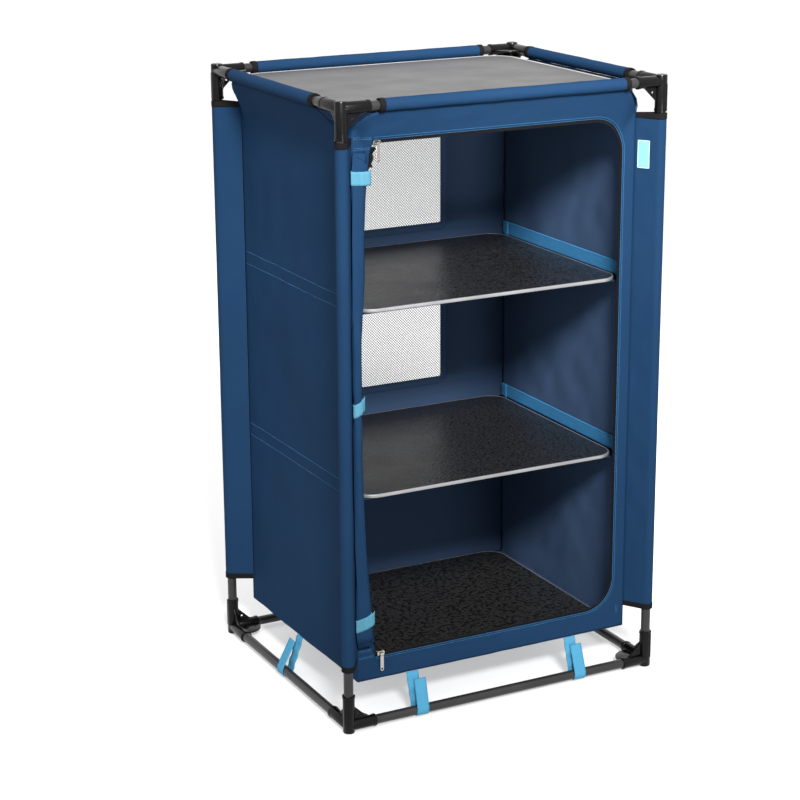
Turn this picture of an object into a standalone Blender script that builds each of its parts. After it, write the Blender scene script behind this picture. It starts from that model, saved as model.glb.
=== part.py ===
"""A camping cupboard: a push-fit tube frame, a fabric cabinet hung inside it, and loose boards.

Units are metres, +Z is up and the front faces -Y. The origin is on the floor, under the middle.
"""

import math

import bmesh
import bpy
from mathutils import Matrix, Vector

# Clearance between pieces that touch
FIT = 0.0003

# Frame
FRAME_WIDTH = 0.600
FRAME_DEPTH = 0.500
FRAME_HEIGHT = 1.040
TUBE_RADIUS = 0.008
TUBE_WALL = 0.001
ROUND_SIDES = 16

# Corner connectors
POST_SOCKET_WALL = 0.0017
SIDE_SOCKET_WALL = 0.0014
SIDE_SOCKET_REACH_X = 0.048
SIDE_SOCKET_REACH_Y = 0.060
SOCKET_FLOOR = 0.0105
BASE_FOOT = 0.0125
BASE_SOCKET_RISE = 0.0535
TOP_CAP = 0.0115
TOP_SOCKET_DROP = 0.0505
FOOT_EDGE = 0.0015
WEB_THICKNESS = 0.003
WEB_LEG_ALONG = 0.036
WEB_LEG_UP = 0.0345
WEB_HOLE_PLACE = 0.017
WEB_HOLE_RADIUS = 0.002
FLAT_WEB_REACH = 0.045
FLAT_WEB_RADIUS = 0.029

# Fabric cabinet
CLOTH = 0.0016
WING_RUN_X = 0.030
WING_RUN_Y = 0.027
CABINET_BOTTOM = 0.0715
CABINET_CORNER = 0.010
FOLD_BELOW_TOP_TUBE = 0.0835
SLEEVE_ROOM = 0.0025
SLEEVE_END_GAP_X = 0.064
SLEEVE_END_GAP_FRONT = 0.088
SLEEVE_END_GAP_BACK = 0.064
CORNER_CUT_START = 0.0515
CORNER_CUT_END = 0.0165
ROOF_BELOW_TOP_TUBE = 0.0135
WING_BOTTOM = 0.110
WING_TOP_GAP = 0.0015
WING_TIP = 0.0022

# Door opening and zip
OPENING_LEFT_MARGIN = 0.032
OPENING_RIGHT_MARGIN = 0.030
OPENING_LIP = 0.0455
OPENING_ABOVE_FOLD = 0.022
OPENING_RADIUS = 0.050
TRACK_WIDTH = 0.0044
TRACK_THICKNESS = 0.0024
SLIDER_LENGTH = 0.013
SLIDER_PLATE = 0.0012
SLIDER_SPINE = 0.0028
SLIDER_OVERHANG = 0.0008
TOP_SLIDER_OFFSET = 0.0003
LOW_SLIDER_OFFSET = 0.0045
BRIDGE_BAR_RADIUS = 0.0008
BRIDGE_STAND_OFF = 0.0032
BRIDGE_LENGTH = 0.0096
BRIDGE_LEG = 0.0012
PULL_WIDTH = 0.0062
PULL_LENGTH = 0.030
PULL_THICKNESS = 0.0012
PULL_HOLE = 0.0032
PULL_HOLE_MARGIN = 0.003
KNUCKLE_RADIUS = 0.0025
KNUCKLE_BORE = 0.0016

# Rolled door and its straps
ROLL_CENTRE_FROM_POST_X = 0.0345
ROLL_CENTRE_FROM_POST_Y = 0.0065
ROLL_HALF_WIDTH = 0.018
ROLL_HALF_DEPTH = 0.0145
ROLL_BOTTOM_ABOVE_OPENING = 0.013
ROLL_TOP_BELOW_FOLD = 0.002
ROLL_STEP = 0.07
ROLL_SIDES = 22
ROLL_RINGS = 19
ROLL_CLEARANCE = 0.0020
ROLL_STRAP_THICKNESS = 0.0012
ROLL_STRAP_WIDTH = 0.022
UPPER_ROLL_STRAP_BELOW_FOLD = 0.028
MIDDLE_ROLL_STRAP_Z = 0.551
LOWER_ROLL_STRAP_Z = 0.182
ROLL_PINCH = 0.14
ROLL_PINCH_SPREAD = 0.045

# Boards
LOWER_SHELF_BELOW_UPPER = 0.310
UPPER_SHELF_BELOW_TOP_TUBE = 0.3285
BOARD_HEIGHT = 0.006
TOP_BOARD_HEIGHT = 0.0051
BOARD_SIDE_GAP = 0.015
BOARD_FRONT_GAP = 0.008
BOARD_RADIUS = 0.035
TOP_BOARD_SIDE_GAP = 0.028
TOP_BOARD_FRONT_GAP = 0.018
TOP_BOARD_RADIUS = 0.046
TRIM_WALL = 0.0008
TRIM_LIP = 0.0007
TRIM_LIP_WIDTH = 0.005
ARC_STEPS = 5

# Shelf slings
SLING_THICKNESS = 0.0016
SLING_FRONT_SETBACK = 0.013
SLING_BAND_HEIGHT = 0.0289
SLING_BAND_END_GAP = 0.006

# Net windows in the back panel
WINDOW_WIDTH = 0.254
WINDOW_RADIUS = 0.003
UPPER_WINDOW_SILL = 0.029
UPPER_WINDOW_HEAD = 0.041
LOWER_WINDOW_SILL = 0.049
LOWER_WINDOW_HEAD = 0.080
NET_THICKNESS = 0.0012
NET_PITCH = 0.020
NET_BAR = 0.003
NET_HEM = 0.010

# Base straps
STRAP_THICKNESS = 0.0012
STRAP_WIDTH = 0.022
STRAP_TAIL_SHARE = 0.35
FRONT_STRAP_X = (-0.158, 0.150)
FRONT_STRAP_SLANT = 0.007
SIDE_STRAP_Y = 0.015
SIDE_STRAP_SLANT = -0.012
STRAP_ARC_STEPS = 10

# Label tab on the front right wing
LABEL_WIDTH = 0.020
LABEL_HEIGHT = 0.045
LABEL_THICKNESS = 0.0008
LABEL_FROM_TIP = 0.006
LABEL_BELOW_FOLD = 0.014

# Places that follow from the sizes above
BORE_RADIUS = TUBE_RADIUS + FIT
POST_SOCKET_RADIUS = BORE_RADIUS + POST_SOCKET_WALL
SIDE_SOCKET_RADIUS = BORE_RADIUS + SIDE_SOCKET_WALL
SLEEVE_RADIUS = TUBE_RADIUS + SLEEVE_ROOM
POST_X = FRAME_WIDTH / 2 - POST_SOCKET_RADIUS
POST_Y = FRAME_DEPTH / 2 - POST_SOCKET_RADIUS
BASE_Z = BASE_FOOT
TOP_Z = FRAME_HEIGHT - TOP_CAP
TUBE_END = SOCKET_FLOOR + FIT
BOX_X = POST_X - WING_RUN_X
BOX_Y = POST_Y - WING_RUN_Y
INNER_X = BOX_X - CLOTH
INNER_Y = BOX_Y - CLOTH
FOLD_Z = TOP_Z - FOLD_BELOW_TOP_TUBE
WALL_TOP = TOP_Z - SLEEVE_RADIUS / 2
LEAN_RISE = TOP_Z - SLEEVE_RADIUS - FOLD_Z
FRONT_SLOPE = WING_RUN_Y / LEAN_RISE
SIDE_SLOPE = WING_RUN_X / LEAN_RISE
ROOF_Z = TOP_Z - ROOF_BELOW_TOP_TUBE
OPENING_LEFT = -BOX_X + OPENING_LEFT_MARGIN
OPENING_RIGHT = BOX_X - OPENING_RIGHT_MARGIN
OPENING_BOTTOM = CABINET_BOTTOM + OPENING_LIP
OPENING_TOP = FOLD_Z + OPENING_ABOVE_FOLD
UPPER_SHELF_TOP = TOP_Z - UPPER_SHELF_BELOW_TOP_TUBE
LOWER_SHELF_TOP = UPPER_SHELF_TOP - LOWER_SHELF_BELOW_UPPER

# How a point (u, v) of an outline and its depth w sit in space, for each drawing plane
PLANES = {
    "XY": lambda u, v, w: (u, v, w),
    "XZ": lambda u, v, w: (u, w, v),
    "YZ": lambda u, v, w: (w, u, v),
}

BLUE_CLOTH = ("blue_cloth", (0.070, 0.130, 0.300), 0.85, 0.0)
NAVY_CLOTH = ("navy_cloth", (0.025, 0.050, 0.110), 0.90, 0.0)
LIGHT_WEBBING = ("light_webbing", (0.120, 0.500, 0.830), 0.75, 0.0)
DARK_TUBE = ("dark_tube", (0.110, 0.110, 0.115), 0.35, 0.6)
BLACK_PLASTIC = ("black_plastic", (0.030, 0.030, 0.032), 0.50, 0.0)
BRIGHT_METAL = ("bright_metal", (0.780, 0.780, 0.790), 0.28, 1.0)
GREY_BOARD = ("grey_board", (0.095, 0.095, 0.100), 0.55, 0.0)
BLACK_BOARD = ("black_board", (0.012, 0.012, 0.014), 0.60, 0.0)
TOP_GREY = ("top_grey", (0.300, 0.300, 0.300), 0.55, 0.0)
PALE_NET = ("pale_net", (0.550, 0.560, 0.580), 0.90, 0.0)
ZIP_BLACK = ("zip_black", (0.015, 0.015, 0.020), 0.60, 0.0)


def clear_scene():
    for obj in list(bpy.data.objects):
        bpy.data.objects.remove(obj, do_unlink=True)


def material(finish):
    """The material of this finish, made the first time it is asked for."""
    name, colour, roughness, metallic = finish
    found = bpy.data.materials.get(name)
    if found:
        return found
    made = bpy.data.materials.new(name)
    made.use_nodes = True
    shader = made.node_tree.nodes["Principled BSDF"]
    shader.inputs["Base Color"].default_value = (*colour, 1.0)
    shader.inputs["Roughness"].default_value = roughness
    shader.inputs["Metallic"].default_value = metallic
    return made


def empty(name, place, parent=None):
    """An unseen holder whose origin is on the axis of what it carries."""
    holder = bpy.data.objects.new(name, None)
    holder.empty_display_size = 0.02
    bpy.context.scene.collection.objects.link(holder)
    if parent:
        holder.parent = parent
        holder.location = Vector(place) - parent.matrix_world.translation
    bpy.context.view_layer.update()
    return holder


def shape(bm):
    """The bmesh as a new object, its faces turned outwards."""
    bmesh.ops.recalc_face_normals(bm, faces=bm.faces)
    mesh = bpy.data.meshes.new("shape")
    bm.to_mesh(mesh)
    bm.free()
    obj = bpy.data.objects.new("shape", mesh)
    bpy.context.scene.collection.objects.link(obj)
    return obj


def boolean(target, tool, operation):
    """Joins or cuts target with tool, keeps the result as its mesh and removes the tool."""
    modifier = target.modifiers.new(operation, "BOOLEAN")
    modifier.operation = operation
    modifier.object = tool
    graph = bpy.context.evaluated_depsgraph_get()
    result = bpy.data.meshes.new_from_object(target.evaluated_get(graph))
    target.modifiers.clear()
    target.data = result
    bpy.data.objects.remove(tool)


def finish(obj, name, look, holder, origin=None):
    """Names the object, gives it its material and hangs it on its holder, its origin where asked."""
    place = Vector(origin) if origin else holder.matrix_world.translation.copy()
    obj.data.transform(Matrix.Translation(-place))
    obj.name = name
    obj.data.name = name
    obj.data.materials.clear()
    obj.data.materials.append(material(look))
    obj.data.shade_smooth()
    obj.data.set_sharp_from_angle(angle=math.radians(35))
    obj.parent = holder
    obj.location = place - holder.matrix_world.translation
    return obj


def ring_points(centre, radius, axis, sides=ROUND_SIDES):
    """Points on a circle round a line through centre, the axis being X, Y or Z."""
    turns = [2 * math.pi * (i + 0.5) / sides for i in range(sides)]
    flat = [(radius * math.cos(turn), radius * math.sin(turn)) for turn in turns]
    if axis == "X":
        return [Vector(centre) + Vector((0, a, b)) for a, b in flat]
    if axis == "Y":
        return [Vector(centre) + Vector((b, 0, a)) for a, b in flat]
    return [Vector(centre) + Vector((a, b, 0)) for a, b in flat]


def loft(rings, closed=False):
    """A solid through rings of equal count: capped at both ends, or closed on itself like a tyre."""
    bm = bmesh.new()
    loops = [[bm.verts.new(point) for point in ring] for ring in rings]
    pairs = list(zip(loops, loops[1:]))
    if closed:
        pairs.append((loops[-1], loops[0]))
    else:
        bm.faces.new(loops[0])
        bm.faces.new(loops[-1])
    for low, high in pairs:
        for i in range(len(low)):
            j = (i + 1) % len(low)
            bm.faces.new((low[i], low[j], high[j], high[i]))
    return bm


def cylinder(start, end, radius, axis, sides=ROUND_SIDES):
    return loft([ring_points(start, radius, axis, sides), ring_points(end, radius, axis, sides)])


def pipe(start, end, outer, inner, axis):
    rings = [
        ring_points(start, outer, axis),
        ring_points(end, outer, axis),
        ring_points(end, inner, axis),
        ring_points(start, inner, axis),
    ]
    return loft(rings, closed=True)


def slab(outline, plane, low, high, holes=()):
    """A flat piece of this outline between two depths, pierced by the holes."""
    bm = bmesh.new()
    put = PLANES[plane]
    loops = []
    edges = []
    for points in (outline, *holes):
        loop = [bm.verts.new(put(u, v, low)) for u, v in points]
        edges += [bm.edges.new((loop[i - 1], loop[i])) for i in range(len(loop))]
        loops.append(loop)
    bmesh.ops.triangle_fill(bm, use_beauty=True, edges=edges, normal=put(0, 0, 1))
    lower = list(bm.faces)
    rise = Vector(put(0, 0, high - low))
    above = {}
    for loop in loops:
        for vert in loop:
            above[vert] = bm.verts.new(vert.co + rise)
    for face in lower:
        bm.faces.new([above[vert] for vert in face.verts])
    for loop in loops:
        for i in range(len(loop)):
            bm.faces.new((loop[i - 1], loop[i], above[loop[i]], above[loop[i - 1]]))
    return bm


def arc(centre, radius, start, end, steps):
    """Points on an arc, angles in radians."""
    turns = [start + (end - start) * i / steps for i in range(steps + 1)]
    return [(centre[0] + radius * math.cos(t), centre[1] + radius * math.sin(t)) for t in turns]


def rounded_rectangle(left, bottom, right, top, radius):
    """A rectangle whose four corners are arcs, anticlockwise from its lower right corner."""
    corners = [
        (right - radius, bottom + radius, -90),
        (right - radius, top - radius, 0),
        (left + radius, top - radius, 90),
        (left + radius, bottom + radius, 180),
    ]
    points = []
    for u, v, start in corners:
        turn = math.radians(start)
        points += arc((u, v), radius, turn, turn + math.pi / 2, ARC_STEPS)
    return points


def rectangle(left, bottom, right, top):
    return [(left, bottom), (right, bottom), (right, top), (left, top)]


def lean(bm, axis, side, slope):
    """Leans the part of a wall above the fold line outwards, along X (0) or Y (1)."""
    everything = bm.verts[:] + bm.edges[:] + bm.faces[:]
    bmesh.ops.bisect_plane(bm, geom=everything, dist=1e-7, plane_co=(0, 0, FOLD_Z), plane_no=(0, 0, 1))
    for vert in bm.verts:
        vert.co[axis] += side * slope * max(0.0, vert.co.z - FOLD_Z)
    return bm


def connector(foot, rise):
    """A corner connector with its sockets towards +X, +Y and +Z, its axes crossing at the origin."""
    rings = [
        ring_points((0, 0, -foot), POST_SOCKET_RADIUS - FOOT_EDGE, "Z"),
        ring_points((0, 0, FOOT_EDGE - foot), POST_SOCKET_RADIUS, "Z"),
        ring_points((0, 0, rise), POST_SOCKET_RADIUS, "Z"),
    ]
    body = shape(loft(rings))
    inside = POST_SOCKET_RADIUS / 2
    half = WEB_THICKNESS / 2
    upright = [
        (inside, inside),
        (WEB_LEG_ALONG, inside),
        (WEB_LEG_ALONG, SIDE_SOCKET_RADIUS),
        (POST_SOCKET_RADIUS, WEB_LEG_UP),
        (inside, WEB_LEG_UP),
    ]
    hole = arc((WEB_HOLE_PLACE, WEB_HOLE_PLACE), WEB_HOLE_RADIUS, 0, 2 * math.pi, 8)[:-1]
    centre = FLAT_WEB_REACH - FLAT_WEB_RADIUS
    flat = [(inside, inside), (FLAT_WEB_REACH, inside)]
    flat += arc((centre, centre), FLAT_WEB_RADIUS, 0, math.pi / 2, 8)
    flat += [(inside, FLAT_WEB_REACH)]
    additions = [
        cylinder((0, 0, 0), (SIDE_SOCKET_REACH_X, 0, 0), SIDE_SOCKET_RADIUS, "X"),
        cylinder((0, 0, 0), (0, SIDE_SOCKET_REACH_Y, 0), SIDE_SOCKET_RADIUS, "Y"),
        slab(upright, "XZ", -half, half, [hole]),
        slab(upright, "YZ", -half, half, [hole]),
        slab(flat, "XY", -half, half),
    ]
    for addition in additions:
        boolean(body, shape(addition), "UNION")
    past = 0.001
    sockets = [
        ((SOCKET_FLOOR, 0, 0), (SIDE_SOCKET_REACH_X + past, 0, 0), "X"),
        ((0, SOCKET_FLOOR, 0), (0, SIDE_SOCKET_REACH_Y + past, 0), "Y"),
        ((0, 0, SOCKET_FLOOR), (0, 0, rise + past), "Z"),
    ]
    for start, end, axis in sockets:
        boolean(body, shape(cylinder(start, end, BORE_RADIUS, axis)), "DIFFERENCE")
    return body


def build_connectors(root):
    """Eight corners: one moulding for the base and one for the top, mirrored into place."""
    base = connector(BASE_FOOT, BASE_SOCKET_RISE)
    top = connector(TOP_CAP, TOP_SOCKET_DROP)
    for level, pattern, z, up in (("base", base, BASE_Z, 1), ("top", top, TOP_Z, -1)):
        for side, sx in (("left", -1), ("right", 1)):
            for face, sy in (("front", -1), ("back", 1)):
                mesh = pattern.data.copy()
                mirror = Matrix.Diagonal((-sx, -sy, up, 1))
                mesh.transform(mirror)
                if mirror.determinant() < 0:
                    mesh.flip_normals()
                mesh.transform(Matrix.Translation((sx * POST_X, sy * POST_Y, z)))
                copy = bpy.data.objects.new("connector", mesh)
                bpy.context.scene.collection.objects.link(copy)
                place = (sx * POST_X, sy * POST_Y, z)
                finish(copy, f"{level}_connector_{face}_{side}", BLACK_PLASTIC, root, place)
    bpy.data.objects.remove(base)
    bpy.data.objects.remove(top)


def build_tubes(root):
    """Four posts, and four tubes each at the top and the base, their ends inside the sockets."""
    inner = TUBE_RADIUS - TUBE_WALL
    for side, sx in (("left", -1), ("right", 1)):
        for face, sy in (("front", -1), ("back", 1)):
            low = (sx * POST_X, sy * POST_Y, BASE_Z + TUBE_END)
            high = (sx * POST_X, sy * POST_Y, TOP_Z - TUBE_END)
            post = shape(pipe(low, high, TUBE_RADIUS, inner, "Z"))
            finish(post, f"post_{face}_{side}", DARK_TUBE, root, low)
    for level, z in (("base", BASE_Z), ("top", TOP_Z)):
        for face, sy in (("front", -1), ("back", 1)):
            start = (TUBE_END - POST_X, sy * POST_Y, z)
            end = (POST_X - TUBE_END, sy * POST_Y, z)
            tube = shape(pipe(start, end, TUBE_RADIUS, inner, "X"))
            finish(tube, f"{level}_tube_{face}", DARK_TUBE, root, start)
        for side, sx in (("left", -1), ("right", 1)):
            start = (sx * POST_X, TUBE_END - POST_Y, z)
            end = (sx * POST_X, POST_Y - TUBE_END, z)
            tube = shape(pipe(start, end, TUBE_RADIUS, inner, "Y"))
            finish(tube, f"{level}_tube_{side}", DARK_TUBE, root, start)


def track_path(offset, left):
    """The door opening's edge moved outwards by offset, from its top left round to its lower left."""
    radius = OPENING_RADIUS + offset
    right = OPENING_RIGHT + offset
    top = OPENING_TOP + offset
    bottom = OPENING_BOTTOM - offset
    quarter = math.pi / 2
    points = [(left, top)]
    points += arc((right - radius, top - radius), radius, quarter, 0, 7)
    points += arc((right - radius, bottom + radius), radius, 0, -quarter, 7)
    points.append((left, bottom))
    return points


def panel_outline(half, low_corner, sleeve_start, sleeve_end):
    """A wall laid flat: rounded lower corners, and upper corners cut down to its sleeve's ends."""
    cut_start = TOP_Z - CORNER_CUT_START
    cut_end = TOP_Z - CORNER_CUT_END
    quarter = math.pi / 2
    bottom = CABINET_BOTTOM + low_corner
    points = arc((low_corner - half, bottom), low_corner, -2 * quarter, -quarter, 4)
    points += arc((half - low_corner, bottom), low_corner, -quarter, 0, 4)
    points += [(half, cut_start), (sleeve_end + CORNER_CUT_END / 2, cut_end), (sleeve_end, WALL_TOP)]
    points += [(sleeve_start, WALL_TOP), (sleeve_start - CORNER_CUT_END / 2, cut_end), (-half, cut_start)]
    return points


def sleeved_wall(bm, centre_line, axis, start, end):
    """Joins a wall to the sleeve along its top and bores the sleeve for its tube."""
    wall = shape(bm)
    first = list(centre_line)
    last = list(centre_line)
    along = "XYZ".index(axis)
    first[along] = start
    last[along] = end
    boolean(wall, shape(cylinder(first, last, SLEEVE_RADIUS, axis)), "UNION")
    past = 0.02
    first[along] = start - past
    last[along] = end + past
    boolean(wall, shape(cylinder(first, last, BORE_RADIUS, axis)), "DIFFERENCE")
    return wall


def window_box(level):
    """Left, bottom, right and top of a window in the back panel."""
    if level == "upper":
        low = UPPER_SHELF_TOP + UPPER_WINDOW_SILL
        high = FOLD_Z - UPPER_WINDOW_HEAD
    else:
        low = LOWER_SHELF_TOP + LOWER_WINDOW_SILL
        high = UPPER_SHELF_TOP - BOARD_HEIGHT - LOWER_WINDOW_HEAD
    return -WINDOW_WIDTH / 2, low, WINDOW_WIDTH / 2, high


def build_walls(root):
    """Front, back, left and right panels, each with its sleeve round a top tube."""
    sleeve_x = POST_X - SLEEVE_END_GAP_X
    outline = panel_outline(BOX_X, CABINET_CORNER, -sleeve_x, sleeve_x)
    hole = track_path(TRACK_WIDTH + FIT, OPENING_LEFT)
    front = lean(slab(outline, "XZ", -BOX_Y, -INNER_Y, [hole]), 1, -1, FRONT_SLOPE)
    front = sleeved_wall(front, (0, -POST_Y, TOP_Z), "X", -sleeve_x, sleeve_x)
    finish(front, "front_panel", BLUE_CLOTH, root)

    windows = [rounded_rectangle(*window_box(level), WINDOW_RADIUS) for level in ("upper", "lower")]
    back = lean(slab(outline, "XZ", INNER_Y, BOX_Y, windows), 1, 1, FRONT_SLOPE)
    back = sleeved_wall(back, (0, POST_Y, TOP_Z), "X", -sleeve_x, sleeve_x)
    finish(back, "back_panel", BLUE_CLOTH, root)

    sleeve_front = SLEEVE_END_GAP_FRONT - POST_Y
    sleeve_back = POST_Y - SLEEVE_END_GAP_BACK
    outline = panel_outline(INNER_Y - FIT, CABINET_CORNER, sleeve_front, sleeve_back)
    for side, sx in (("left", -1), ("right", 1)):
        low, high = sorted((sx * BOX_X, sx * INNER_X))
        wall = lean(slab(outline, "YZ", low, high), 0, sx, SIDE_SLOPE)
        wall = sleeved_wall(wall, (sx * POST_X, 0, TOP_Z), "Y", sleeve_front, sleeve_back)
        finish(wall, f"{side}_panel", BLUE_CLOTH, root)


def build_roof_and_floor(root):
    """The flat panels that the top board and the bottom board lie on."""
    rise = ROOF_Z - FOLD_Z
    slack = 2 * FIT
    half_x = INNER_X + SIDE_SLOPE * rise - slack
    half_y = INNER_Y + FRONT_SLOPE * rise - slack
    front_x = POST_X - SLEEVE_END_GAP_X
    front_y = SLEEVE_END_GAP_FRONT - POST_Y
    back_y = POST_Y - SLEEVE_END_GAP_BACK
    outline = [
        (-front_x, -half_y),
        (front_x, -half_y),
        (half_x, front_y),
        (half_x, back_y),
        (front_x, half_y),
        (-front_x, half_y),
        (-half_x, back_y),
        (-half_x, front_y),
    ]
    roof = shape(slab(outline, "XY", ROOF_Z, ROOF_Z + CLOTH))
    finish(roof, "roof_panel", BLUE_CLOTH, root, (0, 0, ROOF_Z))
    half_x = INNER_X - FIT
    half_y = INNER_Y - FIT
    outline = rounded_rectangle(-half_x, -half_y, half_x, half_y, CABINET_CORNER)
    floor = shape(slab(outline, "XY", CABINET_BOTTOM, CABINET_BOTTOM + CLOTH))
    finish(floor, "floor_panel", NAVY_CLOTH, root, (0, 0, CABINET_BOTTOM))


def tangent_turn(point, radius, side):
    """The angle at which a line from point touches a circle round the origin."""
    distance = math.hypot(*point)
    return math.atan2(point[1], point[0]) + side * math.acos(radius / distance)


def wing_tips():
    """The wing's two corners at the cabinet, seen from a post whose cabinet lies towards -X and -Y."""
    corner_x = FIT - WING_RUN_X
    corner_y = FIT - WING_RUN_Y
    return (corner_x, corner_y + WING_TIP), (corner_x + WING_TIP, corner_y)


def wing_outline():
    """A sleeve round the post that narrows to the cabinet's corner, the post at the origin."""
    near_front, near_side = wing_tips()
    start = tangent_turn(near_side, SLEEVE_RADIUS, 1)
    end = tangent_turn(near_front, SLEEVE_RADIUS, -1) + 2 * math.pi
    points = arc((0, 0), SLEEVE_RADIUS, start % (2 * math.pi) - 2 * math.pi, end % (2 * math.pi), 12)
    return points + [near_front, (near_front[0], near_side[1]), near_side]


def build_wings(root):
    """Four fabric wings, each a sleeve on a post joined to a corner of the cabinet."""
    top = TOP_Z - TOP_SOCKET_DROP - WING_TOP_GAP
    first = math.pi / ROUND_SIDES
    bore = arc((0, 0), BORE_RADIUS, first, first + 2 * math.pi, ROUND_SIDES)[:-1]
    for side, sx in (("left", -1), ("right", 1)):
        for face, sy in (("front", -1), ("back", 1)):
            outline = [(sx * (POST_X + u), sy * (POST_Y + v)) for u, v in wing_outline()]
            hole = [(sx * (POST_X + u), sy * (POST_Y + v)) for u, v in bore]
            wing = shape(slab(outline, "XY", WING_BOTTOM, top, [hole]))
            place = (sx * POST_X, sy * POST_Y, WING_BOTTOM)
            finish(wing, f"corner_wing_{face}_{side}", BLUE_CLOTH, root, place)


def build_nets(root):
    """The window nets: a plain hem round a grid of square gaps."""
    middle = BOX_Y - CLOTH / 2
    for level in ("upper", "lower"):
        left, bottom, right, top = window_box(level)
        outline = rounded_rectangle(left + FIT, bottom + FIT, right - FIT, top - FIT, WINDOW_RADIUS - FIT)
        columns = round((right - left - 2 * NET_HEM) / NET_PITCH)
        rows = round((top - bottom - 2 * NET_HEM) / NET_PITCH)
        step_x = (right - left - 2 * NET_HEM) / columns
        step_z = (top - bottom - 2 * NET_HEM) / rows
        holes = []
        for column in range(columns):
            for row in range(rows):
                x = left + NET_HEM + column * step_x + NET_BAR / 2
                z = bottom + NET_HEM + row * step_z + NET_BAR / 2
                holes.append(rectangle(x, z, x + step_x - NET_BAR, z + step_z - NET_BAR))
        half = NET_THICKNESS / 2
        net = shape(slab(outline, "XZ", middle - half, middle + half, holes))
        finish(net, f"window_net_{level}", PALE_NET, root, (0, middle, bottom))


def board_outline(half_x, half_y, radius, inset):
    return rounded_rectangle(inset - half_x, inset - half_y, half_x - inset, half_y - inset, radius - inset)


def build_board(name, half_x, half_y, radius, top, height, look, root):
    """A loose board and the metal channel round its edge, on a holder that lifts them together."""
    bottom = top - height
    holder = empty(f"{name}_lift", (0, 0, bottom), root)
    slot = TRIM_WALL
    lip = TRIM_WALL + TRIM_LIP_WIDTH
    path = [
        (0, bottom),
        (0, top),
        (lip, top),
        (lip, top - TRIM_LIP),
        (slot, top - TRIM_LIP),
        (slot, bottom + TRIM_LIP),
        (lip, bottom + TRIM_LIP),
        (lip, bottom),
    ]
    rings = []
    for inset, z in path:
        rings.append([(u, v, z) for u, v in board_outline(half_x, half_y, radius, inset)])
    trim = shape(loft(rings, closed=True))
    finish(trim, f"{name}_edge_trim", BRIGHT_METAL, holder)
    outline = board_outline(half_x, half_y, radius, slot + FIT)
    board = shape(slab(outline, "XY", bottom + TRIM_LIP + FIT, top - TRIM_LIP - FIT))
    finish(board, name, look, holder)


def build_boards(root):
    half_x = BOX_X - BOARD_SIDE_GAP
    half_y = BOX_Y - BOARD_FRONT_GAP
    floor_top = CABINET_BOTTOM + CLOTH + FIT + BOARD_HEIGHT
    build_board("upper_shelf", half_x, half_y, BOARD_RADIUS, UPPER_SHELF_TOP, BOARD_HEIGHT, GREY_BOARD, root)
    build_board("lower_shelf", half_x, half_y, BOARD_RADIUS, LOWER_SHELF_TOP, BOARD_HEIGHT, GREY_BOARD, root)
    build_board("bottom_board", half_x, half_y, BOARD_RADIUS, floor_top, BOARD_HEIGHT, BLACK_BOARD, root)
    half_x = POST_X - TOP_BOARD_SIDE_GAP
    half_y = POST_Y - TOP_BOARD_FRONT_GAP
    top = ROOF_Z + CLOTH + FIT + TOP_BOARD_HEIGHT
    build_board("top_board", half_x, half_y, TOP_BOARD_RADIUS, top, TOP_BOARD_HEIGHT, TOP_GREY, root)


def build_slings(root):
    """The fabric that each shelf lies on, turned up at both sides into a webbing band on the wall."""
    half = INNER_X - FIT
    front = SLING_FRONT_SETBACK - BOX_Y
    back = INNER_Y - FIT
    for level, shelf_top in (("upper", UPPER_SHELF_TOP), ("lower", LOWER_SHELF_TOP)):
        top = shelf_top - BOARD_HEIGHT - FIT
        bottom = top - SLING_THICKNESS
        band = bottom + SLING_BAND_HEIGHT
        inner = half - SLING_THICKNESS
        section = [(-half, bottom), (half, bottom), (half, band), (inner, band)]
        section += [(inner, top), (-inner, top), (-inner, band), (-half, band)]
        sling = shape(slab(section, "XZ", front, back - SLING_BAND_END_GAP))
        rear = rectangle(-half, back - SLING_BAND_END_GAP - FIT, half, back)
        boolean(sling, shape(slab(rear, "XY", bottom, top)), "UNION")
        finish(sling, f"shelf_sling_{level}", LIGHT_WEBBING, root, (0, 0, bottom))


def build_zip(root):
    """The zip along the opening's edge, and a slider with a hanging pull tab at each of its ends."""
    middle = BOX_Y - CLOTH / 2
    half = TRACK_THICKNESS / 2
    start = OPENING_LEFT + FIT
    outline = track_path(TRACK_WIDTH, start) + track_path(0, start)[::-1]
    track = shape(lean(slab(outline, "XZ", -middle - half, half - middle), 1, -1, FRONT_SLOPE))
    finish(track, "zip_track", ZIP_BLACK, root, (start, -middle, OPENING_BOTTOM))
    places = (
        ("top", OPENING_LEFT + TOP_SLIDER_OFFSET, OPENING_TOP, 1),
        ("low", OPENING_LEFT + LOW_SLIDER_OFFSET, OPENING_BOTTOM, -1),
    )
    for level, start, edge, up in places:
        build_slider(level, start, edge, up, root)


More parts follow.
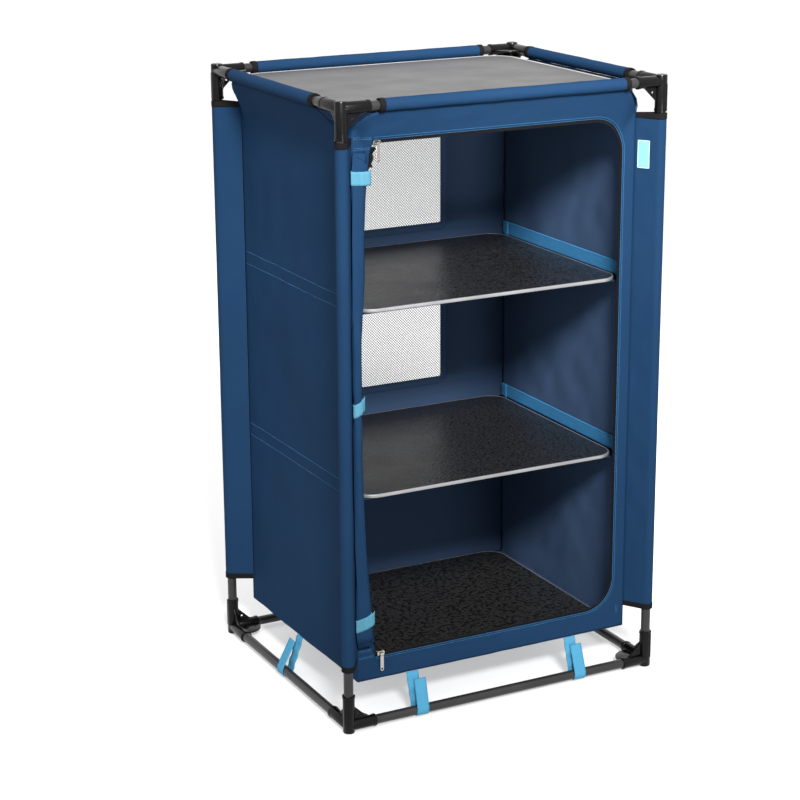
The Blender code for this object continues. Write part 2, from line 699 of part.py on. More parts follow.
def build_slider(level, start, edge, up, root):
    """A slider gripping the track whose inner edge is at this height, its fabric lying towards up."""
    middle = BOX_Y - CLOTH / 2
    gap = TRACK_THICKNESS / 2 + FIT
    outer = gap + SLIDER_PLATE
    spine_in = edge - up * FIT
    spine_out = spine_in - up * SLIDER_SPINE
    lips = edge + up * (TRACK_WIDTH + SLIDER_OVERHANG)
    section = [
        (-middle - outer, lips),
        (-middle - outer, spine_out),
        (outer - middle, spine_out),
        (outer - middle, lips),
        (gap - middle, lips),
        (gap - middle, spine_in),
        (-middle - gap, spine_in),
        (-middle - gap, lips),
    ]
    end = start + SLIDER_LENGTH
    centre = (start + end) / 2
    bar_z = (spine_out + lips) / 2
    plate_y = -middle - outer
    bar_y = plate_y - BRIDGE_STAND_OFF
    body = shape(slab(section, "YZ", start, end))
    reach = BRIDGE_LENGTH / 2
    inside = reach - BRIDGE_LEG
    foot = plate_y + SLIDER_PLATE / 2
    bridge = [
        (centre - reach, foot),
        (centre - reach, bar_y - BRIDGE_BAR_RADIUS),
        (centre + reach, bar_y - BRIDGE_BAR_RADIUS),
        (centre + reach, foot),
        (centre + inside, foot),
        (centre + inside, bar_y + BRIDGE_BAR_RADIUS),
        (centre - inside, bar_y + BRIDGE_BAR_RADIUS),
        (centre - inside, foot),
    ]
    half_bar = BRIDGE_BAR_RADIUS * 0.9
    boolean(body, shape(slab(bridge, "XY", bar_z - half_bar, bar_z + half_bar)), "UNION")
    for vert in body.data.vertices:
        vert.co.y -= FRONT_SLOPE * max(0.0, vert.co.z - FOLD_Z)
    bar_y -= FRONT_SLOPE * max(0.0, bar_z - FOLD_Z)
    bar = (centre, bar_y, bar_z)
    carrier = empty(f"zip_slider_{level}_slide", bar, root)
    finish(body, f"zip_slider_{level}", BRIGHT_METAL, carrier)
    build_pull(level, bar, inside - FIT, empty(f"zip_pull_{level}_hinge", bar, carrier))


def build_pull(level, bar, half_knuckle, hinge):
    """A pull tab: a knuckle round the slider's bar and a pierced plate that hangs from it."""
    x, y, z = bar
    knuckle = shape(cylinder((x - half_knuckle, y, z), (x + half_knuckle, y, z), KNUCKLE_RADIUS, "X", 12))
    half = PULL_WIDTH / 2
    tip = PULL_THICKNESS
    low = z - PULL_LENGTH
    hole_top = low + PULL_HOLE_MARGIN + 2 * PULL_HOLE
    plate = [
        (x - half, z - KNUCKLE_RADIUS / 2),
        (x - half, low + tip),
        (x - half + tip, low),
        (x + half - tip, low),
        (x + half, low + tip),
        (x + half, z - KNUCKLE_RADIUS / 2),
    ]
    hole = rectangle(x - PULL_HOLE / 2, low + PULL_HOLE_MARGIN, x + PULL_HOLE / 2, hole_top)
    tab = slab(plate, "XZ", y - PULL_THICKNESS / 2, y + PULL_THICKNESS / 2, [hole])
    boolean(knuckle, shape(tab), "UNION")
    past = half_knuckle + FIT
    boolean(knuckle, shape(cylinder((x - past, y, z), (x + past, y, z), KNUCKLE_BORE, "X", 12)), "DIFFERENCE")
    finish(knuckle, f"zip_pull_{level}", BRIGHT_METAL, hinge)


def roll_centre():
    return ROLL_CENTRE_FROM_POST_X - POST_X, ROLL_CENTRE_FROM_POST_Y - POST_Y


def roll_pinch(z, strap_heights):
    """How much the straps draw the roll in at this height: 1 where it is free."""
    drawn = sum(math.exp(-(((z - strap) / ROLL_PINCH_SPREAD) ** 2)) for strap in strap_heights)
    return 1 - ROLL_PINCH * drawn


def roll_section(size, grow, stepped):
    """The rolled door's outline from above: an oval pressed flat by the front panel and the wing."""
    centre = Vector(roll_centre())
    tip = wing_tips()[0]
    tip = Vector((-POST_X - tip[0], -POST_Y - tip[1]))
    turn = tangent_turn(wing_tips()[0], SLEEVE_RADIUS, -1)
    touch = Vector((-POST_X - SLEEVE_RADIUS * math.cos(turn), -POST_Y - SLEEVE_RADIUS * math.sin(turn)))
    along = (tip - touch).normalized()
    facing = Vector((along.y, -along.x))
    wing_space = (centre - tip).dot(facing) - ROLL_CLEARANCE
    wall_space = -BOX_Y - ROLL_CLEARANCE - centre.y
    points = []
    for i in range(ROLL_SIDES):
        share = i / (ROLL_SIDES - 1)
        angle = -math.pi / 2 + 2 * math.pi * share
        way = Vector((math.cos(angle), math.sin(angle)))
        oval = math.hypot(way.x / ROLL_HALF_WIDTH, way.y / ROLL_HALF_DEPTH)
        step = 1 - ROLL_STEP * share if stepped else 1
        radius = size * step / oval
        towards_wing = -way.dot(facing)
        if towards_wing > 0:
            radius = min(radius, wing_space / towards_wing)
        if way.y > 0:
            radius = min(radius, wall_space / way.y)
        if i == ROLL_SIDES - 1 and not stepped:
            continue
        points.append(centre + way * (radius + grow))
    return points


def build_door_roll(root):
    """The rolled door and its three straps, which hold it in front of the left edge of the opening."""
    bottom = OPENING_BOTTOM + ROLL_BOTTOM_ABOVE_OPENING
    top = FOLD_Z - ROLL_TOP_BELOW_FOLD
    straps = {
        "upper": FOLD_Z - UPPER_ROLL_STRAP_BELOW_FOLD,
        "middle": MIDDLE_ROLL_STRAP_Z,
        "lower": LOWER_ROLL_STRAP_Z,
    }
    heights = [bottom + (top - bottom) * i / (ROLL_RINGS - 1) for i in range(ROLL_RINGS)]
    heights = sorted(heights + [z + side * ROLL_STRAP_WIDTH / 2 for z in straps.values() for side in (-1, 1)])
    rings = []
    for z in heights:
        size = roll_pinch(z, straps.values())
        rings.append([(x, y, z) for x, y in roll_section(size, 0, True)])
    roll = shape(loft(rings))
    x, y = roll_centre()
    finish(roll, "door_roll", BLUE_CLOTH, root, (x, y, bottom))
    for level, z in straps.items():
        low = z - ROLL_STRAP_WIDTH / 2
        high = z + ROLL_STRAP_WIDTH / 2
        size = max(roll_pinch(low, straps.values()), roll_pinch(high, straps.values()))
        inner = roll_section(size, FIT, False)
        outer = roll_section(size, FIT + ROLL_STRAP_THICKNESS, False)
        rings = [
            [(x, y, low) for x, y in outer],
            [(x, y, high) for x, y in outer],
            [(x, y, high) for x, y in inner],
            [(x, y, low) for x, y in inner],
        ]
        strap = shape(loft(rings, closed=True))
        finish(strap, f"roll_strap_{level}", LIGHT_WEBBING, root, (*roll_centre(), z))


def strap_centre_line(wall, tube):
    """A strap from the cabinet's lower edge, down behind the tube, round it and up again to its tail.

    Points are (distance outwards, height), for a wall and a tube at these distances outwards.
    """
    wrap = BORE_RADIUS + STRAP_THICKNESS / 2
    start = Vector((wall - CLOTH / 2 - tube, CABINET_BOTTOM - 2 * FIT - BASE_Z))
    touch_in = tangent_turn(start, wrap, 1)
    inner = Vector((wrap * math.cos(touch_in), wrap * math.sin(touch_in)))
    run = inner - start
    outwards = Vector((-run.y, run.x)).normalized()
    tail = start + run * STRAP_TAIL_SHARE + outwards * (STRAP_THICKNESS + FIT)
    touch_out = tangent_turn(tail, wrap, -1) + 2 * math.pi
    points = [start]
    points += [Vector(point) for point in arc((0, 0), wrap, touch_in, touch_out, STRAP_ARC_STEPS)]
    points.append(tail)
    return [point + Vector((tube, BASE_Z)) for point in points]


def ribbon(points, thickness):
    """The outline of a band of this thickness along a centre line."""
    left = []
    right = []
    for i, point in enumerate(points):
        before = points[max(i - 1, 0)]
        after = points[min(i + 1, len(points) - 1)]
        across = Vector((before.y - after.y, after.x - before.x)).normalized() * thickness / 2
        left.append(tuple(point + across))
        right.append(tuple(point - across))
    return left + right[::-1]


def build_strap(name, plane, sign, wall, tube, centre, slant, root):
    """A webbing strap round a base tube, in the plane square to that tube."""
    outline = [(sign * u, v) for u, v in ribbon(strap_centre_line(wall, tube), STRAP_THICKNESS)]
    bm = slab(outline, plane, centre - STRAP_WIDTH / 2, centre + STRAP_WIDTH / 2)
    across = 0 if plane == "YZ" else 1
    for vert in bm.verts:
        vert.co[across] += slant * (CABINET_BOTTOM - vert.co.z) / (CABINET_BOTTOM - BASE_Z)
    finish(shape(bm), name, LIGHT_WEBBING, root)


def build_base_straps(root):
    for face, sy in (("front", -1), ("back", 1)):
        for side, x in zip(("left", "right"), FRONT_STRAP_X):
            name = f"base_strap_{face}_{side}"
            build_strap(name, "YZ", sy, BOX_Y, POST_Y, x, FRONT_STRAP_SLANT, root)
    for side, sx in (("left", -1), ("right", 1)):
        name = f"base_strap_{side}"
        build_strap(name, "XZ", sx, BOX_X, POST_X, SIDE_STRAP_Y, SIDE_STRAP_SLANT, root)


def build_label(root):
    """A blank tab that lies on the front right wing, beside the cabinet's corner."""
    tip, _ = wing_tips()
    turn = tangent_turn(tip, SLEEVE_RADIUS, -1)
    touch = Vector((SLEEVE_RADIUS * math.cos(turn), SLEEVE_RADIUS * math.sin(turn)))
    along = (touch - Vector(tip)).normalized()
    off = Vector((-along.y, along.x))
    low = FIT
    high = FIT + LABEL_THICKNESS
    start = LABEL_FROM_TIP
    corners = []
    for run, out in ((start, low), (start + LABEL_WIDTH, low), (start + LABEL_WIDTH, high), (start, high)):
        point = Vector(tip) + along * run + off * out
        corners.append((POST_X + point.x, -POST_Y - point.y))
    top = FOLD_Z - LABEL_BELOW_FOLD
    label = shape(slab(corners, "XY", top - LABEL_HEIGHT, top))
    finish(label, "label_tab", LIGHT_WEBBING, root)


def main():
    clear_scene()
    root = empty("cupboard", (0, 0, 0))
    build_connectors(root)
    build_tubes(root)
    build_walls(root)
    build_roof_and_floor(root)
    build_wings(root)
    build_nets(root)
    build_slings(root)
    build_boards(root)
    build_zip(root)
    build_door_roll(root)
    build_base_straps(root)
    build_label(root)


main()
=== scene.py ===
"""A camping cupboard: a fabric cabinet with two shelves in a push-fit tube frame, its door rolled up."""
import math

import bmesh
import bpy
from mathutils import Matrix, Vector, noise


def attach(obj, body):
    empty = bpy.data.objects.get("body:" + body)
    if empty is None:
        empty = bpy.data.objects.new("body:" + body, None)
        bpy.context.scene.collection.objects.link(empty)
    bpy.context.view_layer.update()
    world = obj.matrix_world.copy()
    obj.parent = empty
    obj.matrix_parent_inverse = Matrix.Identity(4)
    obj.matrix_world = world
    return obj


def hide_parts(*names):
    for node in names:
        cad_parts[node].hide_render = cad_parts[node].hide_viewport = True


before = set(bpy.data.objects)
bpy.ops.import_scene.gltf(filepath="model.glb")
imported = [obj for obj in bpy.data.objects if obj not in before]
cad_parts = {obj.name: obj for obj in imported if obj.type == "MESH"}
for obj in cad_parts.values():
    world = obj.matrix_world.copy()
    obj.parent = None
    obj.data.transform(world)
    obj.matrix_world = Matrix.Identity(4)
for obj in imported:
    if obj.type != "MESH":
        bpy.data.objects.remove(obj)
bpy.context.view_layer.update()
scene = bpy.context.scene

# The studio: a pale floor lit from within and a white surround, with a large soft lamp high in front, aimed
# at the cupboard's head, and a weak one low in front that lights the cloth above the opening. Each lamp has
# its place, its aim, its cone in degrees, its radius and its power.
CAMERA_PLACE = (-1.6923, -3.1317, 1.5282)
CAMERA_YAW = -27.419
CAMERA_PITCH = 16.616
CAMERA_ROLL = -0.324
SENSOR_WIDTH = 36.0
FOCAL_LENGTH = 96.21
SURROUND_STRENGTH = 1.22
STUDIO_FLOOR_HALF = 20
STUDIO_FLOOR_TONE = (0.48, 0.48, 0.48, 1)
STUDIO_FLOOR_GLOW = 0.44
LAMPS = {
    "high_lamp": ((-1.20, -4.15, 3.80), (0.16, -0.20, 1.12), 26.0, 0.7, 4800),
    "low_lamp": ((-0.10, -3.00, 0.45), (0.06, -0.24, 1.02), 13.0, 0.3, 260),
}

scene.view_settings.view_transform = "Standard"
scene.view_settings.look = "None"

camera_data = bpy.data.cameras.new("camera")
camera_data.sensor_width = SENSOR_WIDTH
camera_data.lens = FOCAL_LENGTH
camera = bpy.data.objects.new("camera", camera_data)
scene.collection.objects.link(camera)
camera.matrix_world = (
    Matrix.Translation(CAMERA_PLACE)
    @ Matrix.Rotation(math.radians(CAMERA_YAW), 4, "Z")
    @ Matrix.Rotation(math.radians(90 - CAMERA_PITCH), 4, "X")
    @ Matrix.Rotation(math.radians(CAMERA_ROLL), 4, "Z")
)
scene.camera = camera


def node(tree, kind, sockets=None, **settings):
    """Adds a shader node, sets it, and fills or links its sockets."""
    made = tree.nodes.new(kind if kind.startswith("Node") else "ShaderNode" + kind)
    for key, value in settings.items():
        setattr(made, key, value)
    for key, value in (sockets or {}).items():
        if isinstance(value, bpy.types.NodeSocket):
            tree.links.new(value, made.inputs[key])
        else:
            made.inputs[key].default_value = value
    return made


for lamp_name, (place, aim, cone, radius, power) in LAMPS.items():
    lamp = bpy.data.lights.new(lamp_name, "SPOT")
    lamp.energy = power
    lamp.spot_size = math.radians(cone)
    lamp.spot_blend = 1.0
    lamp.shadow_soft_size = radius
    lamp_stand = bpy.data.objects.new(lamp_name, lamp)
    scene.collection.objects.link(lamp_stand)
    turn = (Vector(aim) - Vector(place)).to_track_quat("-Z", "Y").to_matrix().to_4x4()
    lamp_stand.matrix_world = Matrix.Translation(place) @ turn

surround = bpy.data.worlds.new("surround")
surround.use_nodes = True
surround.node_tree.nodes.clear()
white = node(surround.node_tree, "Background", {"Color": (1, 1, 1, 1), "Strength": SURROUND_STRENGTH})
node(surround.node_tree, "OutputWorld", {"Surface": white.outputs[0]})
scene.world = surround

bm = bmesh.new()
bmesh.ops.create_grid(bm, x_segments=1, y_segments=1, size=STUDIO_FLOOR_HALF)
floor_mesh = bpy.data.meshes.new("studio_floor")
bm.to_mesh(floor_mesh)
bm.free()
studio_floor = bpy.data.objects.new("studio_floor", floor_mesh)
scene.collection.objects.link(studio_floor)
floor_look = bpy.data.materials.new("studio_floor")
floor_look.use_nodes = True
floor_look.node_tree.nodes.clear()
matt = node(floor_look.node_tree, "BsdfDiffuse", {"Color": STUDIO_FLOOR_TONE})
glow = node(floor_look.node_tree, "Emission", {"Strength": STUDIO_FLOOR_GLOW})
lit = node(floor_look.node_tree, "AddShader", {0: matt.outputs[0], 1: glow.outputs[0]})
node(floor_look.node_tree, "OutputMaterial", {"Surface": lit.outputs[0]})
floor_mesh.materials.append(floor_look)

# Frame tubes: four posts and eight rails of thin steel tube 16 mm across, powder-coated dark grey.
# They are cut square, and their ends are pushed into the corner mouldings.
POST_X = 0.290
POST_Y = 0.240
BASE_Z = 0.0125
TOP_Z = 1.0285
TUBE_RADIUS = 0.008
TUBE_WALL = 0.001
TUBE_EDGE = 0.0003
TUBE_SIDES = 48
POST_SPAN = (0.0233, 1.0177)
RAIL_HALF_X = 0.2792
RAIL_HALF_Y = 0.2292
ALONG = {
    "X": Matrix.Rotation(math.pi / 2, 4, "Y"),
    "Y": Matrix.Rotation(-math.pi / 2, 4, "X"),
    "Z": Matrix.Identity(4),
}


def new_group(name, inputs, outputs):
    """An empty shader node group, with its inputs' first values, and the sockets inside it."""
    tree = bpy.data.node_groups.new(name, "ShaderNodeTree")
    for socket, value in inputs.items():
        kind = "NodeSocketFloat" if isinstance(value, float) else "NodeSocketVector"
        tree.interface.new_socket(socket, in_out="INPUT", socket_type=kind).default_value = value
    for socket in outputs:
        tree.interface.new_socket(socket, in_out="OUTPUT", socket_type="NodeSocketFloat")
    return tree, node(tree, "NodeGroupInput").outputs, node(tree, "NodeGroupOutput").inputs


def figure(tree, operation, *values):
    """The outcome of one Math node."""
    return node(tree, "Math", dict(enumerate(values)), operation=operation).outputs[0]


def spread(tree, value, low, high, start=0.0, end=1.0):
    """A value taken from one range to another, and kept within it."""
    sockets = {"Value": value, "From Min": low, "From Max": high, "To Min": start, "To Max": end}
    return node(tree, "MapRange", sockets).outputs[0]


def mixed(tree, share, first, second):
    """A colour between two, by a share from 0 to 1."""
    mixer = node(tree, "Mix", data_type="RGBA")
    for socket, value in ((0, share), (6, first), (7, second)):
        if isinstance(value, bpy.types.NodeSocket):
            tree.links.new(value, mixer.inputs[socket])
        else:
            mixer.inputs[socket].default_value = value if socket == 0 else (*value, 1)
    return mixer.outputs[2]


def new_look(name, **sockets):
    """A material with one Principled shader, whose even values are set by name."""
    look = bpy.data.materials.new(name)
    look.use_nodes = True
    look.node_tree.nodes.clear()
    values = {key.replace("_", " "): value for key, value in sockets.items()}
    shader = node(look.node_tree, "BsdfPrincipled", values)
    node(look.node_tree, "OutputMaterial", {"Surface": shader.outputs[0]})
    return look, look.node_tree, shader


def finished(tree, shader, colour, roughness, height, depth):
    """Feeds a colour, a roughness and a relief of this depth in metres to the shader."""
    tree.links.new(colour, shader.inputs["Base Color"])
    tree.links.new(roughness, shader.inputs["Roughness"])
    relief = node(tree, "Bump", {"Height": height, "Strength": 1.0, "Distance": depth})
    tree.links.new(relief.outputs[0], shader.inputs["Normal"])


handling, given, out = new_group(
    "handling marks", {"Place": (0, 0, 0), "Grain": 900.0}, ("Grain", "Tone", "Rub")
)
fine = node(handling, "TexNoise", {"Vector": given["Place"], "Scale": given["Grain"], "Detail": 3.0})
drift = node(handling, "TexNoise", {"Vector": given["Place"], "Scale": 14.0, "Detail": 5.0})
streaking = {"Vector": given["Place"], "Rotation": (0.5, 0.9, 0.4), "Scale": (1, 14, 3)}
streak = node(handling, "Mapping", streaking).outputs[0]
rub = node(handling, "TexNoise", {"Vector": streak, "Scale": 38.0, "Detail": 6.0, "Roughness": 0.7})
handling.links.new(fine.outputs[0], out["Grain"])
handling.links.new(drift.outputs[0], out["Tone"])
handling.links.new(spread(handling, rub.outputs[0], 0.66, 0.74), out["Rub"])


def hard_look(name, colour, rubbed, roughness, depth, grain=900.0, rub=0.35, **sockets):
    """Paint, plastic, metal or laminate: a fine grain, a drifting tone and paler rubbed marks."""
    look, tree, shader = new_look(name, **sockets)
    place = node(tree, "TexCoord").outputs["Object"]
    marks = node(tree, "Group", {"Place": place, "Grain": grain}, node_tree=handling).outputs
    dim = tuple(0.8 * value for value in colour)
    toned = mixed(tree, spread(tree, marks["Tone"], 0.35, 0.65), dim, colour)
    worn = figure(tree, "MULTIPLY", marks["Rub"], rub)
    rough = spread(tree, marks["Tone"], 0.3, 0.7, roughness - 0.05, roughness + 0.05)
    rougher = figure(tree, "MULTIPLY_ADD", worn, 0.2, rough)
    finished(tree, shader, mixed(tree, worn, toned, rubbed), rougher, marks["Grain"], depth)
    return look


def turned(bm, profile, sides, matrix):
    """Spins a profile of (radius, distance along) round the Z axis into a closed shape, then places it."""
    before = set(bm.verts)
    verts = [bm.verts.new((radius, 0, along)) for radius, along in profile]
    edges = [bm.edges.new(pair) for pair in zip(verts, verts[1:])]
    spun = {"cent": (0, 0, 0), "axis": (0, 0, 1), "angle": 2 * math.pi, "steps": sides, "use_merge": True}
    bmesh.ops.spin(bm, geom=verts + edges, **spun)
    fresh = [vert for vert in bm.verts if vert not in before]
    bmesh.ops.remove_doubles(bm, verts=fresh, dist=1e-6)
    fresh = [vert for vert in bm.verts if vert not in before]
    bmesh.ops.transform(bm, matrix=matrix, verts=fresh)
    faces = {face for vert in fresh for face in vert.link_faces}
    bmesh.ops.recalc_face_normals(bm, faces=list(faces))


def settled(bm, name, looks, slot, *nodes, body="cabinet", sharp=40):
    """Makes the shape a piece that moves with a body and stands for CAD nodes."""
    for face in bm.faces:
        face.smooth = True
    for edge in bm.edges:
        edge.smooth = edge.calc_face_angle(0) < math.radians(sharp)
    mesh = bpy.data.meshes.new(name)
    bm.to_mesh(mesh)
    bm.free()
    piece = bpy.data.objects.new(name, mesh)
    scene.collection.objects.link(piece)
    for look in looks if isinstance(looks, tuple) else (looks,):
        mesh.materials.append(look)
    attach(piece, body)
    if nodes:
        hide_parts(*nodes)
    return piece


tube_paint = hard_look(
    "tube_paint", (0.026, 0.025, 0.025), (0.10, 0.10, 0.10), 0.34, 0.00003, grain=1400.0, Metallic=0.45
)


def build_tube(name, axis, start, end, centre):
    """One tube, open at its ends, from start to end along its axis."""
    bore = TUBE_RADIUS - TUBE_WALL
    profile = [
        (bore, start),
        (TUBE_RADIUS - TUBE_EDGE, start),
        (TUBE_RADIUS, start + TUBE_EDGE),
        (TUBE_RADIUS, end - TUBE_EDGE),
        (TUBE_RADIUS - TUBE_EDGE, end),
        (bore, end),
        (bore, start),
    ]
    bm = bmesh.new()
    turned(bm, profile, TUBE_SIDES, Matrix.Translation(centre) @ ALONG[axis])
    settled(bm, name + "_tube", tube_paint, "dark_tube", name)


for side, x in (("left", -POST_X), ("right", POST_X)):
    for face, y in (("front", -POST_Y), ("back", POST_Y)):
        build_tube(f"post_{face}_{side}", "Z", *POST_SPAN, (x, y, 0))
for level, z in (("base", BASE_Z), ("top", TOP_Z)):
    for face, y in (("front", -POST_Y), ("back", POST_Y)):
        build_tube(f"{level}_tube_{face}", "X", -RAIL_HALF_X, RAIL_HALF_X, (0, y, z))
    for side, x in (("left", -POST_X), ("right", POST_X)):
        build_tube(f"{level}_tube_{side}", "Y", -RAIL_HALF_Y, RAIL_HALF_Y, (x, 0, z))

# Corner connectors: eight one-piece mouldings of black nylon, each with three sockets for the tubes,
# a thin web with a moulding hole between each side socket and the upright one, and a flat round tongue.
POST_SOCKET_RADIUS = 0.0100
SIDE_SOCKET_RADIUS = 0.0097
SOCKET_BORE = 0.0083
SOCKET_FLOOR = 0.0105
SOCKET_LIP = 0.0008
SOCKET_LIP_LENGTH = 0.0045
MOUTH_DIP = 0.0022
SOCKET_REACH_X = 0.048
SOCKET_REACH_Y = 0.060
SOCKET_SIDES = 48
FOOT_ROUNDING = 0.0012
WEB_THICKNESS = 0.003
WEB_ALONG = 0.036
WEB_UP = 0.0345
WEB_START = 0.006
WEB_CHAMFER = 0.004
WEB_FOOT_RISE = 0.0012
WEB_HEAD_RUN = 0.0015
WEB_HOLE = (0.017, 0.017)
WEB_HOLE_RADIUS = 0.002
TONGUE_REACH = 0.045
TONGUE_RADIUS = 0.029
MOULDED_EDGE = 0.0004
SHARP_RIM = math.radians(60)
RIB_TURNS = (205, 225, 245)
RIB_HALF = 0.0006
RIB_DEPTH = 0.0014
RIB_FOOT = 0.004
RIB_SHORT = 0.002
CORNERS = {"base": (0.0125, 0.0535, BASE_Z, 1), "top": (0.0115, 0.0505, TOP_Z, -1)}

moulding = hard_look(
    "moulding", (0.0020, 0.0018, 0.0020), (0.012, 0.011, 0.012), 0.22, 0.00005, grain=700.0, rub=0.5,
    Specular_IOR_Level=0.17,
)


def arc(centre, radius, start, end, steps):
    """Points on a circle between two angles in degrees."""
    angles = [math.radians(start + (end - start) * i / steps) for i in range(steps + 1)]
    return [(centre[0] + radius * math.cos(a), centre[1] + radius * math.sin(a)) for a in angles]


def plate(bm, outline, thickness, matrix, holes=(), edge=MOULDED_EDGE, segments=2):
    """Adds a flat plate with rounded edges, its middle on the XY plane before it is placed."""
    flat = bmesh.new()
    edges = []
    for points in (outline, *holes):
        ring = [flat.verts.new((x, y, -thickness / 2)) for x, y in points]
        edges += [flat.edges.new((a, b)) for a, b in zip(ring, ring[1:] + ring[:1])]
    if holes:
        bmesh.ops.triangle_fill(flat, edges=edges, use_beauty=True)
    else:
        flat.faces.new(flat.verts)
    grown = bmesh.ops.extrude_face_region(flat, geom=list(flat.faces))["geom"]
    raised = [item for item in grown if isinstance(item, bmesh.types.BMVert)]
    bmesh.ops.translate(flat, vec=(0, 0, thickness), verts=raised)
    bmesh.ops.recalc_face_normals(flat, faces=flat.faces)
    if edge:
        rims = [item for item in flat.edges if item.calc_face_angle(0) > SHARP_RIM]
        rounding = {"offset": edge, "segments": segments, "profile": 0.5, "affect": "EDGES", "material": -1}
        bmesh.ops.bevel(flat, geom=rims, clamp_overlap=True, **rounding)
    bmesh.ops.transform(flat, matrix=matrix, verts=flat.verts)
    carrier = bpy.data.meshes.new("plate")
    flat.to_mesh(carrier)
    flat.free()
    bm.from_mesh(carrier)
    bpy.data.meshes.remove(carrier)


def socket_profile(radius, start, reach, foot):
    """Half of a socket's section: a closed or domed end, a lipped mouth and a bore down to its floor."""
    lip = radius + SOCKET_LIP
    mouth = reach - SOCKET_LIP_LENGTH
    return [
        (0, start),
        (radius - 2 * foot, start),
        (radius - foot * 0.6, start + foot * 0.4),
        (radius, start + 1.6 * foot),
        (radius, mouth - SOCKET_LIP),
        (lip, mouth),
        (lip, reach - MOULDED_EDGE),
        (lip - MOULDED_EDGE, reach),
        (SOCKET_BORE + MOULDED_EDGE, reach),
        (SOCKET_BORE, reach - MOULDED_EDGE),
        (SOCKET_BORE, SOCKET_FLOOR),
        (0, SOCKET_FLOOR),
    ]


def build_connector(bm, foot, rise):
    """A connector at the origin, its sockets towards +X, +Y and +Z and its foot below."""
    post_socket = socket_profile(POST_SOCKET_RADIUS, -foot, rise, FOOT_ROUNDING)
    turned(bm, post_socket, SOCKET_SIDES, ALONG["Z"])
    for vert in bm.verts:
        if vert.co.z > rise - SOCKET_LIP_LENGTH:
            from_diagonal = math.atan2(vert.co.y, vert.co.x) - math.radians(45)
            vert.co.z -= MOUTH_DIP * math.cos(from_diagonal) ** 4
    for axis, reach in (("X", SOCKET_REACH_X), ("Y", SOCKET_REACH_Y)):
        side_socket = socket_profile(SIDE_SOCKET_RADIUS, 0, reach, MOULDED_EDGE)
        turned(bm, side_socket, SOCKET_SIDES, ALONG[axis])
    web = [
        (WEB_START, WEB_START),
        (WEB_ALONG, WEB_START),
        (WEB_ALONG, SIDE_SOCKET_RADIUS),
        (WEB_ALONG - WEB_CHAMFER, SIDE_SOCKET_RADIUS + WEB_FOOT_RISE),
        (POST_SOCKET_RADIUS + WEB_HEAD_RUN, WEB_UP - WEB_CHAMFER),
        (POST_SOCKET_RADIUS, WEB_UP),
        (WEB_START, WEB_UP),
    ]
    hole = arc(WEB_HOLE, WEB_HOLE_RADIUS, 0, 345, 23)
    upright = Matrix.Rotation(math.pi / 2, 4, "X")
    plate(bm, web, WEB_THICKNESS, upright, [hole])
    plate(bm, web, WEB_THICKNESS, Matrix.Rotation(math.pi / 2, 4, "Z") @ upright, [hole])
    middle = TONGUE_REACH - TONGUE_RADIUS
    tongue = [(WEB_START, WEB_START), (TONGUE_REACH, WEB_START)]
    tongue += arc((middle, middle), TONGUE_RADIUS, 0, 90, 18)
    tongue += [(WEB_START, TONGUE_REACH)]
    plate(bm, tongue, WEB_THICKNESS, Matrix.Identity(4))
    rib_head = rise - SOCKET_LIP_LENGTH - RIB_SHORT
    rib = [(-RIB_HALF, RIB_FOOT), (RIB_HALF, RIB_FOOT), (RIB_HALF, rib_head), (-RIB_HALF, rib_head)]
    on_socket = Matrix.Translation((0, -POST_SOCKET_RADIUS, 0)) @ upright
    for turn in RIB_TURNS:
        plate(bm, rib, RIB_DEPTH, Matrix.Rotation(math.radians(turn + 90), 4, "Z") @ on_socket)


def build_corner(name, foot, rise, x, y, z, up):
    """A connector on its corner, mirrored so that its sockets point into the frame."""
    bm = bmesh.new()
    build_connector(bm, foot, rise)
    flip = Matrix.Diagonal((-math.copysign(1, x), -math.copysign(1, y), up, 1))
    bmesh.ops.transform(bm, matrix=Matrix.Translation((x, y, z)) @ flip, verts=bm.verts)
    bmesh.ops.recalc_face_normals(bm, faces=bm.faces)
    settled(bm, name + "_moulding", moulding, "black_plastic", name)


for side, x in (("left", -POST_X), ("right", POST_X)):
    for face, y in (("front", -POST_Y), ("back", POST_Y)):
        for level, (foot, rise, z, up) in CORNERS.items():
            build_corner(f"{level}_connector_{face}_{side}", foot, rise, x, y, z, up)

# Cabinet walls: four panels of coated polyester cloth, blue outside and greyer on the coated inside. Each
# leans out at its head and ends in a sleeve for its top tube, and its lower edge has a rolled hem. The
# front panel has the door opening and the back one two window openings.
BOX_X = 0.260
BOX_Y = 0.213
CLOTH = 0.0010
WALL_INSET = 0.0008
WALL_FOOT = 0.0715
WALL_CORNER = 0.0012
SEAM_Z = 1.0181
CORNER_TOP = 0.977
CUT_TOP = 1.012
CUT_RUN = 0.00825
LEFT_FRONT_RAISED = 0.018
LEFT_FRONT_CUT = (0.016, 0.003)
LEAN_START = 0.945
LEAN_START_AT_CORNER = 0.976
LEAN_CORNER_WIDTH = 0.032
LEAN_SOFTNESS = 0.10
X_SLEEVE = (-0.226, 0.226)
Y_SLEEVE = (-0.152, 0.176)
SLEEVE_RADIUS = 0.0104
OPENING = (-0.228, 0.117, 0.230, 0.967)
OPENING_RADII = {"high": 0.0545, "low": 0.050}
HINGE_LINE = (
    (0.117, -0.2280), (0.135, -0.2280), (0.192, -0.2327), (0.276, -0.2384), (0.376, -0.2477),
    (0.476, -0.2530), (0.515, -0.2500), (0.568, -0.2492), (0.620, -0.2501), (0.658, -0.2508),
    (0.707, -0.2421), (0.750, -0.2395), (0.835, -0.2389), (0.899, -0.2355), (0.935, -0.2285),
    (0.967, -0.2280),
)
HINGE_EASE = 0.014
CLOTH_FROM_OPENING = 0.0042
HINGE_TURN = 0.020
OUTLINE_HEAD_X = 0.18
OUTLINE_FOOT_X = 0.20
